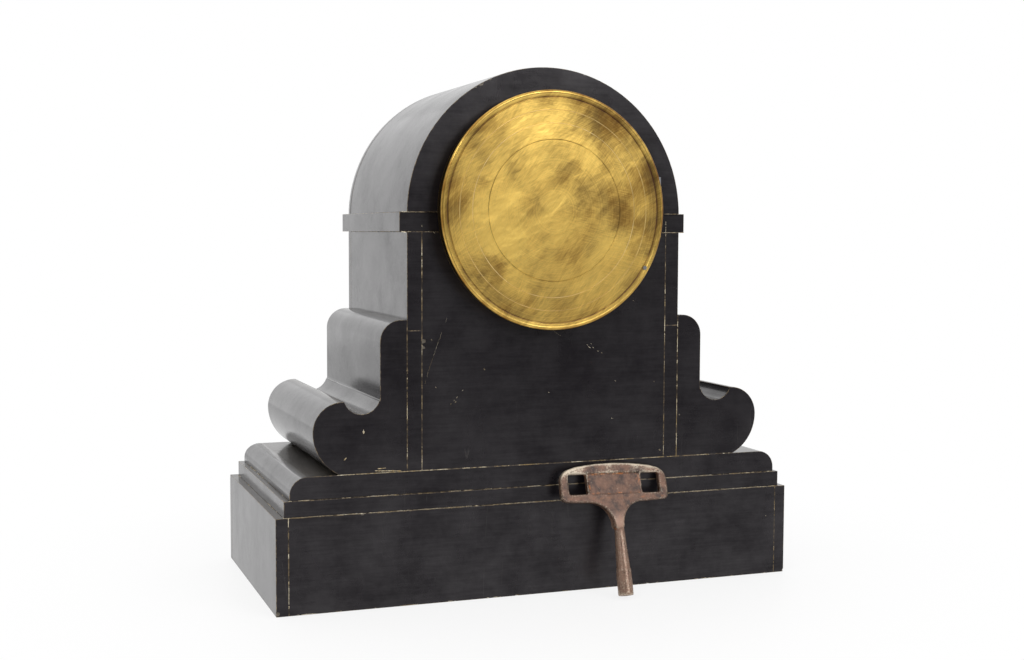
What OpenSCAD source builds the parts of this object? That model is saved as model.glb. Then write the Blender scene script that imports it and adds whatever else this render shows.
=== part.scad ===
// Slate mantel clock with an arched top, seen from the back in its rest position.
// The dial looks towards -Y and the brass rear cover towards +Y.
// The origin is the middle of the rest face, and every length is in millimetres.

/* [Base] */
// Width of the base box
base_w = 340; // [320:1:380]
// Depth of the base box
base_d = 163; // [158:1:180]
// Height of the base box
base_h = 58; // [50:1:70]
// Thickness of the slabs of the base box
base_slab = 7.5; // [6:0.5:9]
// Height of the flat fillet slab
fillet_h = 9.8; // [8:0.2:12]
// Set-back of the fillet slab at the front and the sides
fillet_in = 5; // [4:0.5:6]
// Set-back of the fillet slab at the back
fillet_back_in = 0.8; // [0.4:0.2:1.2]
// Height of the rounded plinth slab
plinth_h = 13.8; // [13:0.2:16]
// Set-back of the plinth slab from the fillet slab
plinth_in = 3.5; // [2.5:0.5:4.5]
// Radius of the rounded edge of the plinth slab
plinth_round = 10.7; // [8:0.1:12]

/* [Body] */
// Width of the body between its side faces
body_w = 180; // [176:1:190]
// Depth of the body
body_d = 144.3; // [140:0.5:150]
// Set-back of the body from the back of the base
body_back_in = 1.4; // [1:0.2:3]
// Height of the body from the plinth to the band
body_h = 143.7; // [140:0.5:150]
// Thickness of the body slabs
body_slab = 9.2; // [8:0.2:10]
// Thickness of the front panel
front_slab = 6.5; // [5:0.5:8]
// Height of the lower side slabs, hidden behind the scrolls
lower_side_h = 84.6; // [80:0.2:88]
// Height of the band
band_h = 11.8; // [10:0.2:14]
// How far the band stands out at each side
band_out = 4.25; // [3:0.25:6]
// Set-back of the band at the back
band_back_in = 1.4; // [0.6:0.2:2]
// How far the centre of the arch lies below the top of the band
arch_drop = 1.3; // [0:0.1:3]
// How far the centre of the dial lies above the top of the band
dial_rise = 1.3; // [0:0.1:2]
// Stone left beside the round opening in the back
rear_wall = 22.5; // [21.5:0.5:24]
// Stone left beside the round opening in the front
front_wall = 32; // [30:0.5:34]

/* [Scrolls] */
// Thickness of the upright stem of a scroll
stem_w = 16.6; // [14:0.2:18]
// Height of a scroll above the plinth
scroll_h = 91.2; // [88:0.2:100]
// Radius of the shoulder of a scroll
shoulder_r = 13; // [10:0.5:14]
// Radius of the hollow between stem and roll
hollow_r = 11.2; // [10:0.2:12]
// Radius of the upper part of the roll
roll_r = 18; // [17:0.5:20]
// Radius of the lower part of the roll
roll_under_r = 28; // [27:0.5:30]
// Distance of the outermost point of the roll from the body
scroll_out = 57.5; // [56:0.5:59]
// Height of the outermost point of the roll above the plinth
roll_rise = 25.4; // [24.6:0.2:26]
// Set-back of a scroll from the front of the body
scroll_front_in = 4.2; // [2:0.2:8]

/* [Rear cover] */
// How far the rear cover reaches past its opening
cover_over = 5.4; // [5:0.1:6.4]
// How far the rear cover stands out from the back
cover_out = 13.1; // [12:0.1:15]
// Radius of the roll of the rim
cover_bead = 1.6; // [1.2:0.1:2]
// Thickness of the sheet brass
cover_t = 1.2; // [0.8:0.1:1.6]

/* [Dial and door] */
// How far the glazed door reaches past the dial
door_over = 10.5; // [9.5:0.5:13]
// Depth of the glazed door
door_depth = 11; // [10:0.5:14]
// How far the minute hand stays short of the dial's edge
minute_short = 11; // [7:1:16]
// How far the hour hand stays short of the dial's edge
hour_short = 24; // [21:1:28]

/* [Movement] */
// Radius of the two movement plates
plate_r = 41.5; // [41.5:0.5:45]
// Thickness of the movement plates
plate_t = 2; // [1.6:0.1:2.4]
// Distance between the movement plates
plate_gap = 38; // [38:0.5:42]
// Radius of the spring barrels
barrel_r = 17; // [14:0.5:17]
// Length from the suspension to the middle of the bob
pendulum_len = 132; // [125:1:136]
// Radius of the pendulum bob
bob_r = 22; // [16:1:24]
// Thickness of the pendulum bob
bob_t = 12; // [8:1:12]
// Outer radius of the rim of the bell
bell_r = 35; // [32:0.5:36]
// Thickness of the bell
bell_t = 1.6; // [1.2:0.1:2]

/* [Winding key] */
// Length of the key
key_len = 83; // [78:0.5:88]
// Half the width of the handle
key_half_w = 37.4; // [36:0.2:40]
// Thickness of the handle
key_t = 4; // [3:0.5:6]
// Radius of the shank at its open end
key_shank_r = 4.9; // [4.6:0.1:5.6]
// Width across the flats of the winding squares
square_w = 4.2; // [3.8:0.1:4.4]
// How far the key leans back from upright, in degrees
key_lean = 19.3; // [16:0.1:22]

/* [Hidden] */

$fn = 64;

// Colours of the finishes
slate = "#2f2e31";
slate_pale = "#3a393c";
brass_aged = "#b8923c";
brass_clean = "#c9a75a";
steel_blued = "#2c3350";
steel_grey = "#8d8f92";
enamel = "#ece7d8";
bronze = "#b39a6a";
iron_rusty = "#6e5a52";

// Gaps: run is the play of a pivot or a pipe, air keeps moving pieces apart
run = 0.05;
air = 0.3;

// Round openings, and what sits in and on them
rear_hole_r = body_w / 2 - rear_wall;
front_hole_r = body_w / 2 - front_wall;
cover_r = rear_hole_r + cover_over;
dial_r = front_hole_r - 4;
door_r = dial_r + door_over;
minute_len = dial_r - minute_short;
hour_len = dial_r - hour_short;

// Levels and planes of the case
case_back = base_d / 2;
body_back = case_back - body_back_in;
body_front = body_back - body_d;
front_inner = body_front + front_slab;
fillet_z = base_h;
plinth_z = fillet_z + fillet_h;
body_z = plinth_z + plinth_h;
side_joint_z = body_z + lower_side_h;
band_z = body_z + body_h;
arch_z = band_z + band_h;
arch_r = body_w / 2;
spring_z = arch_z - arch_drop;
dial_z = arch_z + dial_rise;
fillet_half = base_w / 2 - fillet_in;
fillet_front = -case_back + fillet_in;
plinth_half = fillet_half - plinth_in;
plinth_front = fillet_front + plinth_in;
band_back = body_back - band_back_in;
band_inner_x = rear_hole_r + 1;

// Front ring, dial and door, as planes along Y
flange_t = 2;
flange_front = body_front - flange_t;
sleeve_t = 1.8;
sleeve_r = dial_r + sleeve_t;
sleeve_back = body_front + 16;
flange_r = door_r - 1.5;
dial_lip = 3.4;
dial_t = 1.8;
dial_back = body_front + dial_t;
door_back = flange_front - air;
door_front = door_back - door_depth;
glass_t = 2;
glass_seat = 3.4;
glass_r = dial_r + 1;
glass_back = door_front + 2 + glass_t;
knuckle_r = 2;
door_hinge_x = door_r + knuckle_r + 0.7;
door_hinge_y = flange_front - 1.6;
door_pin_r = 0.8;

// Movement planes along Y
foot_len = 8.4;
front_plate_y = dial_back + foot_len;
inner_y = front_plate_y + plate_t;
outer_y = inner_y + plate_gap;
rear_y = outer_y + plate_t;
foot_r = 1.8;
foot_ring = plate_r - 4.5;

// Rear ring and cover, as planes along Y
ring_flange_t = 1.5;
ring_tube_t = 1.6;
ring_tube_r = rear_hole_r - 0.3;
ring_bore_r = ring_tube_r - ring_tube_t;
ring_flange_r = cover_r - 1.9;
skirt_r = cover_r - cover_bead;
skirt_inner = skirt_r - cover_t;
upstand_r = skirt_inner - 0.9;
upstand_h = 4.5;
cover_back = body_back + 4.4;
cover_face = body_back + cover_out - 1;
rear_knuckle_r = 1.7;
rear_pin_r = 0.7;
rear_hinge_x = -(skirt_r + rear_knuckle_r + 0.6);
rear_hinge_y = cover_back - 0.5;
rear_knuckle_half = 5;
rear_hinge_half = 16;
rear_pin_top = 21.7;
rivet_at = polar(skirt_inner - 0.4, 210.2);
rivet_r = 1.2;

// Case straps
strap_t = 1.6;
strap_h = 8;
strap_x = sleeve_r - 0.7;
strap_front = body_front + 2;
strap_end = 7;
strap_back = body_back - 1.5;
strap_screw_r = 1.4;
strap_screw_x = strap_x - 2.2;

// Teeth: module of each pair, and the share of a tooth pitch that a tooth takes
great_m = 0.52;
second_m = 0.4;
centre_m = 0.3;
third_m = 0.3;
warning_m = 0.35;
cannon_m = 0.5;
great_teeth = 72;
barrel_pinion = 10;
second_teeth = 66;
centre_pinion = 8;
centre_teeth = 84;
third_pinion = 7;
third_teeth = 80;
escape_pinion = 7;
escape_teeth = 36;
pin_teeth = 64;
warning_pinion = 8;
warning_teeth = 56;
fly_pinion = 7;
cannon_teeth = 12;
minute_teeth = 36;
minute_pinion = 10;
hour_teeth = 40;
hour_m = cannon_m * (cannon_teeth + minute_teeth) / (minute_pinion + hour_teeth);

// Places of the arbors, across and up from the middle of the dial
winding_x = 20;
winding_drop = 11;
going_at = [winding_x, -winding_drop];
strike_at = [-winding_x, -winding_drop];
centre_at = [0, 0];
escape_at = [0, 17.5];
pallet_at = [0, 31];
second_at = meet(centre_at, reach(second_teeth, centre_pinion, second_m),
                 going_at, reach(great_teeth, barrel_pinion, great_m));
third_at = meet(centre_at, reach(centre_teeth, third_pinion, centre_m),
                escape_at, reach(third_teeth, escape_pinion, third_m));
pin_at = strike_at + polar(reach(great_teeth, barrel_pinion, great_m), 105);
warning_at = pin_at + polar(reach(pin_teeth, warning_pinion, second_m), 70);
fly_at = warning_at + polar(reach(warning_teeth, fly_pinion, warning_m), 20);
hammer_at = [-38, -1];
minute_at = centre_at + polar(reach(minute_teeth, cannon_teeth, cannon_m), 90);

// Planes of the wheels, measured back from the inner face of the front plate
barrel_y = inner_y + 1.5;
barrel_len = 15.5;
great_y = barrel_y + barrel_len;
great_t = 2.5;
second_y = inner_y + 24;
centre_y = inner_y + 30;
third_y = inner_y + 33.8;
escape_y = inner_y + 5.2;
pin_y = inner_y + 23.5;
warning_y = inner_y + 30;
fly_y = inner_y + 8;
fly_len = 14;
wheel_t = 1.2;
leaf_over = 0.7;

// Arbors, pivots and pins
arbor_r = 0.9;
thin_arbor_r = 0.65;
pivot_r = 0.5;
pivot_len = 1.5;
end_play = 0.1;
winding_r = 3;
journal_r = 2.4;
rear_journal_r = 1.6;
pipe_r = 2.6;
pillar_r = 2.5;
pillar_ring = plate_r - 4;
pillar_angles = [20, 105, 243, 297];
foot_angles = [30, 150, 270];

// Ratchets and clicks in front of the front plate
ratchet_teeth = 12;
ratchet_r = 8.5;
ratchet_depth = 1.4;
ratchet_y = front_plate_y - 2.6;
ratchet_t = 2;
click_reach = 14;
click_spread = 45;
click_stud_r = 1.2;
going_click_angle = -20;
strike_click_angle = 230;
square_front = body_front - 0.8;

// Motion work in front of the front plate
cannon_y = front_plate_y - 5;
cannon_r = 1.8;
hour_pipe_r = 2.7;
hour_wheel_y = dial_back + 1;
minute_wheel_y = cannon_y + 0.5;
hour_hand_y = flange_front - 1;
minute_hand_y = hour_hand_y - 2.4;
hand_t = 0.6;
minute_hand_angle = 54;
hour_hand_angle = 304.5;

// Planes behind the back plate
crutch_y = rear_y + 1.5;
crutch_t = 1;
cock_y = rear_y + 5;
cock_t = 2;
rod_y0 = rear_y + 12;
rod_r = 1.2;
hang_half = 2;
hang_block = 5;
cross_pin_r = 0.6;
count_y = rear_y + 1.2;
count_r = 14;
bell_rim_y = rod_y0 + 6;
bell_depth = 24;
bell_post_at = [12, -10];
bell_post_r = 2;
hammer_y = rear_y + 4.5;
hammer_head_r = 3.5;
hammer_head_at = polar(bell_r + hammer_head_r + 0.4, 224);
tail_y = pin_y + 2.6;
pin_ring = 10.5;
pin_r = 0.5;
pin_len = 3.5;
nut_r = 4;
nut_h = 3;
bell_screw_r = 1.5;
minute_stud_r = 1;

// Turn of each wheel that sets its teeth in the gaps of the next one
going_turn = 0;
second_turn = mesh_turn(going_turn, great_teeth, barrel_pinion, towards(going_at, second_at));
centre_turn = mesh_turn(second_turn, second_teeth, centre_pinion, towards(second_at, centre_at));
third_turn = mesh_turn(centre_turn, centre_teeth, third_pinion, towards(centre_at, third_at));
escape_pinion_turn = mesh_turn(third_turn, third_teeth, escape_pinion, towards(third_at, escape_at));
strike_turn = 0;
pin_turn = mesh_turn(strike_turn, great_teeth, barrel_pinion, towards(strike_at, pin_at));
warning_turn = mesh_turn(pin_turn, pin_teeth, warning_pinion, towards(pin_at, warning_at));
fly_turn = mesh_turn(warning_turn, warning_teeth, fly_pinion, towards(warning_at, fly_at));

// Winding key
key_roll = -2.9;
key_turn = 3;
key_bend = 0.9;
key_x = -41.35;
key_neck = 43;
key_step = 17;
key_neck_half = 3.3;
key_hollow = 15.2;
key_low = key_len - 24.2;
key_low_r = 3.8;
key_high_r = 9;
key_crown = 4.2;
key_window = 12.4;
key_panel_half = 18.4;
socket_depth = 14;

// Point at a distance and an angle
function polar(r, a) = [r * cos(a), r * sin(a)];

// Distance between the arbors of two wheels in mesh
function reach(a, b, m) = m * (a + b) / 2;

// Point at distance r from p and s from q, on the left of the way from p to q
function meet(p, r, q, s) =
    let (d = norm(q - p),
         u = (q - p) / d,
         a = (r * r - s * s + d * d) / (2 * d),
         h = sqrt(r * r - a * a))
    p + a * u + h * [-u.y, u.x];

// Direction from p to q
function towards(p, q) = atan2(q.y - p.y, q.x - p.x);

// Turn of wheel b that puts one of its gaps before a tooth of wheel a
function mesh_turn(turn_a, teeth_a, teeth_b, way) =
    way + 180 - (360 / teeth_b) * ((turn_a - way) * teeth_a / 360 + 0.5);

// Box between two corners
module block(x0, x1, y0, y1, z0, z1) {
    translate([x0, y0, z0])
        cube([x1 - x0, y1 - y0, z1 - z0]);
}

// Outline in X and Z, made solid between two planes along Y
module panel_y(ya, yb) {
    rotate([90, 0, 0])
        translate([0, 0, -yb])
            linear_extrude(yb - ya)
                children();
}

// The same for an outline drawn from the middle of the dial
module plate_y(ya, yb) {
    translate([0, 0, dial_z])
        panel_y(ya, yb)
            children();
}

// Turned piece round the dial's axis; its profile is radius and Y
module turned_y() {
    translate([0, 0, dial_z])
        rotate([-90, 0, 0])
            rotate_extrude($fn = 96)
                children();
}

// Round rod along Y, placed from the middle of the dial
module rod_y(at, r, ya, yb) {
    plate_y(ya, yb)
        translate(at)
            circle(r, $fn = 32);
}

// Straight bar with round ends a little wider than itself, as an outline
module bar2d(p, q, w) {
    end_r = w / 2 + 0.05;
    translate(p) {
        rotate(towards(p, q))
            translate([0, -w / 2])
                square([norm(q - p), w]);
        circle(end_r, $fn = 24);
    }
    translate(q)
        circle(end_r, $fn = 24);
}

// Wheel or pinion outline; tall is the height of a tooth above the pitch circle
module teeth2d(count, m, tall, deep, root, tip, turn) {
    pitch_r = count * m / 2;
    polygon([for (k = [0 : count - 1], s = [[-root, -deep], [-tip, tall], [tip, tall], [root, -deep]])
        polar(pitch_r + s[1] * m, turn + (k + s[0]) * 360 / count)]);
}

module wheel2d(count, m, turn) {
    teeth2d(count, m, 0.85, 1, 0.26, 0.11, turn);
}

module pinion2d(count, m, turn) {
    teeth2d(count, m, 0.6, 1.25, 0.2, 0.13, turn);
}

// Crossings: the openings between the spokes of a wheel
module crossings2d(rim_r, hub_r, spokes) {
    gap = 1.6;
    difference() {
        circle(rim_r, $fn = 48);
        circle(hub_r, $fn = 32);
        for (k = [0 : spokes - 1])
            rotate(k * 360 / spokes)
                translate([0, -gap / 2])
                    square([rim_r + 1, gap]);
    }
}

// Wheel with spokes at its place
module wheel(at, count, m, turn, ya, yb, spokes) {
    plate_y(ya, yb)
        translate(at)
            difference() {
                wheel2d(count, m, turn);
                crossings2d(count * m / 2 - 2.6, 3.4, spokes);
            }
}

module pinion(at, count, m, turn, ya, yb) {
    plate_y(ya, yb)
        translate(at)
            pinion2d(count, m, turn);
}

// Arbor between the plates with a pivot at each end
module arbor(at, r = arbor_r) {
    rod_y(at, r, inner_y + end_play, outer_y - end_play);
    rod_y(at, pivot_r, inner_y - pivot_len, outer_y + pivot_len);
}

// Base box
module base_front_slab() {
    color(slate)
        block(-base_w / 2, base_w / 2, -case_back, -case_back + base_slab, 0, base_h);
}

module base_back_slab() {
    color(slate)
        block(-base_w / 2 + base_slab, base_w / 2 - base_slab, case_back - base_slab, case_back, 0, base_h);
}

module base_side() {
    block(base_w / 2 - base_slab, base_w / 2, -case_back + base_slab, case_back, 0, base_h);
}

module base_left_slab() {
    color(slate)
        mirror([1, 0, 0])
            base_side();
}

module base_right_slab() {
    color(slate)
        base_side();
}

module base_bottom_slab() {
    half = base_w / 2 - base_slab;
    color(slate_pale)
        block(-half, half, -case_back + base_slab, case_back - base_slab, 0, base_slab);
}

module fillet_slab() {
    color(slate)
        block(-fillet_half, fillet_half, fillet_front, case_back - fillet_back_in, fillet_z, plinth_z);
}

// Rounded over at the front and both sides, with mitred corners, and flat at the back
module plinth_slab() {
    color(slate)
        intersection() {
            panel_y(plinth_front, body_back)
                rounded_over(plinth_half, plinth_half);
            rotate([90, 0, 90])
                translate([0, 0, -plinth_half])
                    linear_extrude(2 * plinth_half)
                        rounded_over(-plinth_front, body_back, false);
        }
}

// Section of the plinth slab, rounded at its left end and, if both, at its right end
module rounded_over(left, right, both = true) {
    difference() {
        translate([-left, plinth_z])
            square([left + right, plinth_h]);
        corner_cut(-left, 1);
        if (both)
            corner_cut(right, -1);
    }
}

// What a quarter round takes off the upper corner of the plinth slab
module corner_cut(edge, way) {
    difference() {
        translate([edge + way * plinth_round / 2 - way, body_z - plinth_round / 2 + 1])
            square([plinth_round + 2, plinth_round + 2], center = true);
        translate([edge + way * plinth_round, body_z - plinth_round])
            circle(plinth_round);
    }
}

// Scroll buttress: stem with a round shoulder, hollow and roll
module scroll2d() {
    foot = body_w / 2;
    tip_x = foot + scroll_out;
    roll_z = body_z + roll_rise;
    stem_x = foot + stem_w;
    top_z = body_z + scroll_h;
    roll_top = roll_z + roll_r;
    hollow_x = stem_x + hollow_r;
    under_x = tip_x - roll_under_r;
    difference() {
        union() {
            translate([foot, body_z])
                square([stem_w, scroll_h - shoulder_r]);
            translate([foot, body_z])
                square([stem_w - shoulder_r, scroll_h]);
            intersection() {
                translate([stem_x - shoulder_r, top_z - shoulder_r])
                    circle(shoulder_r);
                translate([foot, body_z])
                    square([stem_w, scroll_h]);
            }
            translate([foot, body_z])
                square([tip_x - roll_r - foot, roll_rise + roll_r * 0.97]);
            intersection() {
                translate([tip_x - roll_r, roll_z])
                    circle(roll_r);
                translate([foot, roll_z])
                    square([scroll_out, roll_r]);
            }
            intersection() {
                translate([under_x, roll_z])
                    circle(roll_under_r);
                translate([foot, body_z])
                    square([scroll_out, roll_rise]);
            }
        }
        translate([hollow_x, roll_top + hollow_r * 0.3])
            circle(hollow_r);
        translate([stem_x, roll_top + hollow_r * 0.3])
            square([2 * hollow_r, scroll_h]);
    }
}

module scroll() {
    panel_y(body_front + scroll_front_in, body_back)
        scroll2d();
}

module scroll_left() {
    color(slate)
        mirror([1, 0, 0])
            scroll();
}

module scroll_right() {
    color(slate)
        scroll();
}

// Side slabs of the body, in two heights
module side_slab(z0, z1) {
    block(body_w / 2 - body_slab, body_w / 2, front_inner, body_back, z0, z1);
}

module lower_side_left() {
    color(slate_pale)
        mirror([1, 0, 0])
            side_slab(body_z, side_joint_z);
}

module lower_side_right() {
    color(slate_pale)
        side_slab(body_z, side_joint_z);
}

module upper_side_left() {
    color(slate)
        mirror([1, 0, 0])
            side_slab(side_joint_z, band_z);
}

module upper_side_right() {
    color(slate)
        side_slab(side_joint_z, band_z);
}

module back_panel() {
    half = body_w / 2 - body_slab;
    color(slate)
        difference() {
            block(-half, half, body_back - body_slab, body_back, body_z, band_z);
            rod_y(centre_at, rear_hole_r, body_back - body_slab - 1, body_back + 1);
        }
}

// One tall slab with a round head and the opening for the dial
module front_panel() {
    color(slate)
        panel_y(body_front, front_inner)
            difference() {
                union() {
                    translate([-arch_r, body_z])
                        square([body_w, spring_z - body_z]);
                    intersection() {
                        translate([0, spring_z])
                            circle(arch_r, $fn = 128);
                        translate([-arch_r, spring_z])
                            square([2 * arch_r, arch_r]);
                    }
                }
                translate([0, dial_z])
                    circle(front_hole_r, $fn = 96);
            }
}

// Band at one side: a bed for the arch, with a lip that runs on to the front face
module band() {
    block(band_inner_x, body_w / 2 + band_out, front_inner, band_back, band_z, arch_z);
    block(body_w / 2, body_w / 2 + band_out, body_front, front_inner + 1, band_z, arch_z);
}

module band_left() {
    color(slate)
        mirror([1, 0, 0])
            band();
}

module band_right() {
    color(slate)
        band();
}

// Thick half ring cut from one block
module arch_block() {
    color(slate_pale)
        panel_y(front_inner, body_back)
            difference() {
                intersection() {
                    translate([0, spring_z])
                        circle(arch_r, $fn = 128);
                    translate([-arch_r, arch_z])
                        square([2 * arch_r, arch_r]);
                }
                translate([0, dial_z])
                    circle(rear_hole_r, $fn = 96);
            }
}

// Brass ring on the back, with lugs for the strap screws and two fixed hinge knuckles
module rear_ring() {
    color(brass_aged)
        difference() {
            union() {
                turned_y()
                    polygon([
                        [ring_bore_r, body_back - 6], [ring_tube_r, body_back - 6],
                        [ring_tube_r, body_back], [ring_flange_r, body_back],
                        [ring_flange_r, body_back + ring_flange_t],
                        [upstand_r, body_back + ring_flange_t],
                        [upstand_r, body_back + ring_flange_t + upstand_h],
                        [upstand_r - ring_tube_t, body_back + ring_flange_t + upstand_h],
                        [upstand_r - ring_tube_t, body_back + ring_flange_t],
                        [ring_bore_r, body_back + ring_flange_t]
                    ]);
                for (side = [-1, 1])
                    plate_y(strap_back, body_back + ring_flange_t)
                        translate([side * (ring_bore_r + strap_screw_x - 4) / 2, 0])
                            square([ring_bore_r - strap_screw_x + 6, strap_h + 2], center = true);
                for (side = [-1, 1])
                    rear_fixed_knuckle(side);
            }
            for (side = [-1, 1])
                rod_y([side * strap_screw_x, 0], strap_screw_r, strap_back - 1, body_back + 4);
            translate([rear_hinge_x, rear_hinge_y, dial_z - rear_hinge_half - 1])
                cylinder(h = 2 * rear_hinge_half + 2, r = rear_pin_r);
        }
}

module rear_fixed_knuckle(side) {
    inner = rear_knuckle_half + air;
    len = rear_hinge_half - inner;
    base_z = dial_z + (side > 0 ? inner : -rear_hinge_half);
    translate([rear_hinge_x, rear_hinge_y, base_z])
        cylinder(h = len, r = rear_knuckle_r, $fn = 32);
    block(rear_hinge_x, -ring_flange_r + 3, body_back, body_back + ring_flange_t, base_z, base_z + len);
    block(rear_hinge_x - 0.6, rear_hinge_x + 0.6, body_back, rear_hinge_y - 1, base_z, base_z + len);
}

module rear_hinge_pin() {
    color(steel_grey)
        translate([rear_hinge_x, rear_hinge_y, dial_z - rear_hinge_half - 0.6]) {
            cylinder(h = rear_hinge_half + rear_pin_top, r = rear_pin_r, $fn = 32);
            translate([0, 0, 2 * rear_hinge_half + 0.6])
                cylinder(h = rear_pin_top - rear_hinge_half, r = 1.3, $fn = 32);
        }
}

// Pressed cover with a rolled rim, turned circles and a skirt that slips over the ring
module rear_cover() {
    color(brass_aged)
        difference() {
            union() {
                turned_y()
                    difference() {
                        union() {
                            polygon([
                                [0, cover_face - cover_t], [skirt_inner, cover_face - cover_t],
                                [skirt_inner, cover_back], [skirt_r, cover_back],
                                [skirt_r, cover_face], [0, cover_face]
                            ]);
                            translate([skirt_r, body_back + cover_out - cover_bead])
                                circle(cover_bead, $fn = 32);
                        }
                        translate([cover_r * 0.94, cover_face])
                            circle(0.5, $fn = 24);
                        for (share = [0.59, 0.726, 0.837])
                            translate([cover_r * share, cover_face + 0.05])
                                circle(0.3, $fn = 24);
                    }
                translate([rear_hinge_x, rear_hinge_y, dial_z - rear_knuckle_half])
                    cylinder(h = 2 * rear_knuckle_half, r = rear_knuckle_r, $fn = 32);
                block(rear_hinge_x, -skirt_r + 0.6, rear_hinge_y + 0.5, rear_hinge_y + rear_knuckle_r,
                      dial_z - rear_knuckle_half, dial_z + rear_knuckle_half);
            }
            translate([rear_hinge_x, rear_hinge_y, dial_z - rear_knuckle_half - 1])
                cylinder(h = 2 * rear_knuckle_half + 2, r = rear_pin_r + run);
            rod_y(rivet_at, rivet_r, cover_face - cover_t - 1, cover_face + 1);
        }
}

module cover_rivet() {
    color(steel_grey)
        rod_y(rivet_at, rivet_r, cover_face - cover_t, cover_face + 1);
}

// Two long straps that pull the front ring towards the rear ring
module case_straps() {
    color(brass_clean)
        for (side = [-1, 1])
            difference() {
                union() {
                    plate_y(strap_front, strap_back)
                        translate([side * (strap_x + (strap_t + 0.7) / 2), 0])
                            square([strap_t + 0.7, strap_h], center = true);
                    plate_y(strap_back - strap_end, strap_back)
                        translate([side * strap_screw_x, 0])
                            square([strap_h - 1, strap_h], center = true);
                }
                rod_y(centre_at, sleeve_r, strap_front - 1, sleeve_back + 0.01);
                rod_y([side * strap_screw_x, 0], strap_screw_r, strap_back - strap_end - 1, strap_back + 1);
            }
}

module strap_screws() {
    color(steel_blued)
        for (side = [-1, 1])
            difference() {
                union() {
                    rod_y([side * strap_screw_x, 0], strap_screw_r, strap_back - strap_end,
                          body_back + ring_flange_t + 0.1);
                    rod_y([side * strap_screw_x, 0], 2.6, body_back + ring_flange_t,
                          body_back + ring_flange_t + 2);
                }
                plate_y(body_back + ring_flange_t + 1.2, body_back + ring_flange_t + 3)
                    translate([side * strap_screw_x, 0])
                        square([6, 0.7], center = true);
            }
}

// Brass ring in the front opening: it holds the dial and carries the door
module dial_ring() {
    color(brass_clean)
        difference() {
            union() {
                turned_y()
                    polygon([
                        [dial_r - dial_lip, flange_front], [flange_r, flange_front],
                        [flange_r, body_front], [sleeve_r, body_front],
                        [sleeve_r, sleeve_back], [dial_r, sleeve_back],
                        [dial_r, body_front], [dial_r - dial_lip, body_front]
                    ]);
                for (side = [-1, 1])
                    door_fixed_knuckle(side);
            }
            translate([door_hinge_x, door_hinge_y, dial_z - 12])
                cylinder(h = 24, r = door_pin_r);
        }
}

module door_fixed_knuckle(side) {
    base_z = dial_z + (side > 0 ? 4 + air : -9);
    len = 5 - air;
    translate([door_hinge_x, door_hinge_y, base_z])
        cylinder(h = len, r = knuckle_r, $fn = 32);
    block(flange_r - 3, door_hinge_x, flange_front, body_front, base_z, base_z + len);
}

module door_hinge_pin() {
    color(steel_grey)
        translate([door_hinge_x, door_hinge_y, dial_z - 9.6])
            cylinder(h = 19.2, r = door_pin_r, $fn = 32);
}

// Dial with its three feet, holes for the hands and for the two winding squares
module dial() {
    color(enamel)
        difference() {
            union() {
                rod_y(centre_at, dial_r, body_front, dial_back);
                for (a = foot_angles)
                    rod_y(polar(foot_ring, a), foot_r, dial_back - 0.1, front_plate_y);
            }
            rod_y(centre_at, hour_pipe_r + 0.6, body_front - 1, dial_back + 1);
            for (at = [going_at, strike_at])
                rod_y(at, square_w * 0.86, body_front - 1, dial_back + 1);
        }
}

// Moulded frame of the glazed door, with its hinge knuckle and a lift tab
module door_frame() {
    color(brass_clean)
        difference() {
            union() {
                turned_y()
                    polygon([
                        [glass_r, door_back], [door_r - 1, door_back], [door_r, door_back - 1],
                        [door_r, door_back - 3], [door_r - 1.6, door_back - 5],
                        [door_r - 3, door_front + 2.5], [door_r - 5.5, door_front + 0.8],
                        [glass_r + 0.6, door_front], [glass_r - 1.6, door_front + 0.5],
                        [glass_r - glass_seat, door_front + 2], [glass_r, door_front + 2]
                    ]);
                translate([door_hinge_x, door_hinge_y, dial_z - 4])
                    cylinder(h = 8, r = knuckle_r, $fn = 32);
                block(door_r - 2, door_hinge_x, door_hinge_y - knuckle_r, door_hinge_y - 0.4,
                      dial_z - 4, dial_z + 4);
                plate_y(door_back - 3, door_back - 1)
                    bar2d([-door_r + 1, 0], [-door_r - 2.5, 0], 6);
            }
            translate([door_hinge_x, door_hinge_y, dial_z - 5])
                cylinder(h = 10, r = door_pin_r + run);
        }
}

module door_glass() {
    bevel = 0.7;
    color("#cfe3e6", 0.4)
        turned_y()
            polygon([
                [0, glass_back], [glass_r, glass_back], [glass_r, glass_back - glass_t],
                [glass_r - glass_seat, glass_back - glass_t],
                [glass_r - glass_seat - 4, glass_back - glass_t - bevel], [0, glass_back - glass_t - bevel]
            ]);
}

// Hand with a pierced moon near its tip
module hand2d(len, w, eye_r, boss_r) {
    eye = len * 0.72;
    difference() {
        union() {
            circle(boss_r, $fn = 32);
            polygon([[-w, -boss_r * 1.6], [w, -boss_r * 1.6], [w * 0.5, eye], [-w * 0.5, eye]]);
            translate([0, eye])
                circle(eye_r, $fn = 32);
            polygon([[-eye_r * 0.55, eye + eye_r * 0.7], [eye_r * 0.55, eye + eye_r * 0.7], [0.12, len], [-0.12, len]]);
        }
        translate([0, eye - eye_r * 0.2])
            circle(eye_r * 0.6, $fn = 32);
    }
}

module minute_hand() {
    color(steel_blued)
        plate_y(minute_hand_y - hand_t, minute_hand_y)
            difference() {
                rotate(-minute_hand_angle)
                    hand2d(minute_len, 0.9, 2.4, 3);
                circle(cannon_r, $fn = 32);
            }
}

module hour_hand() {
    color(steel_blued)
        plate_y(hour_hand_y - hand_t, hour_hand_y)
            difference() {
                rotate(-hour_hand_angle)
                    hand2d(hour_len, 1.1, 2.7, 3.9);
                circle(hour_pipe_r, $fn = 32);
            }
}

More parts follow.
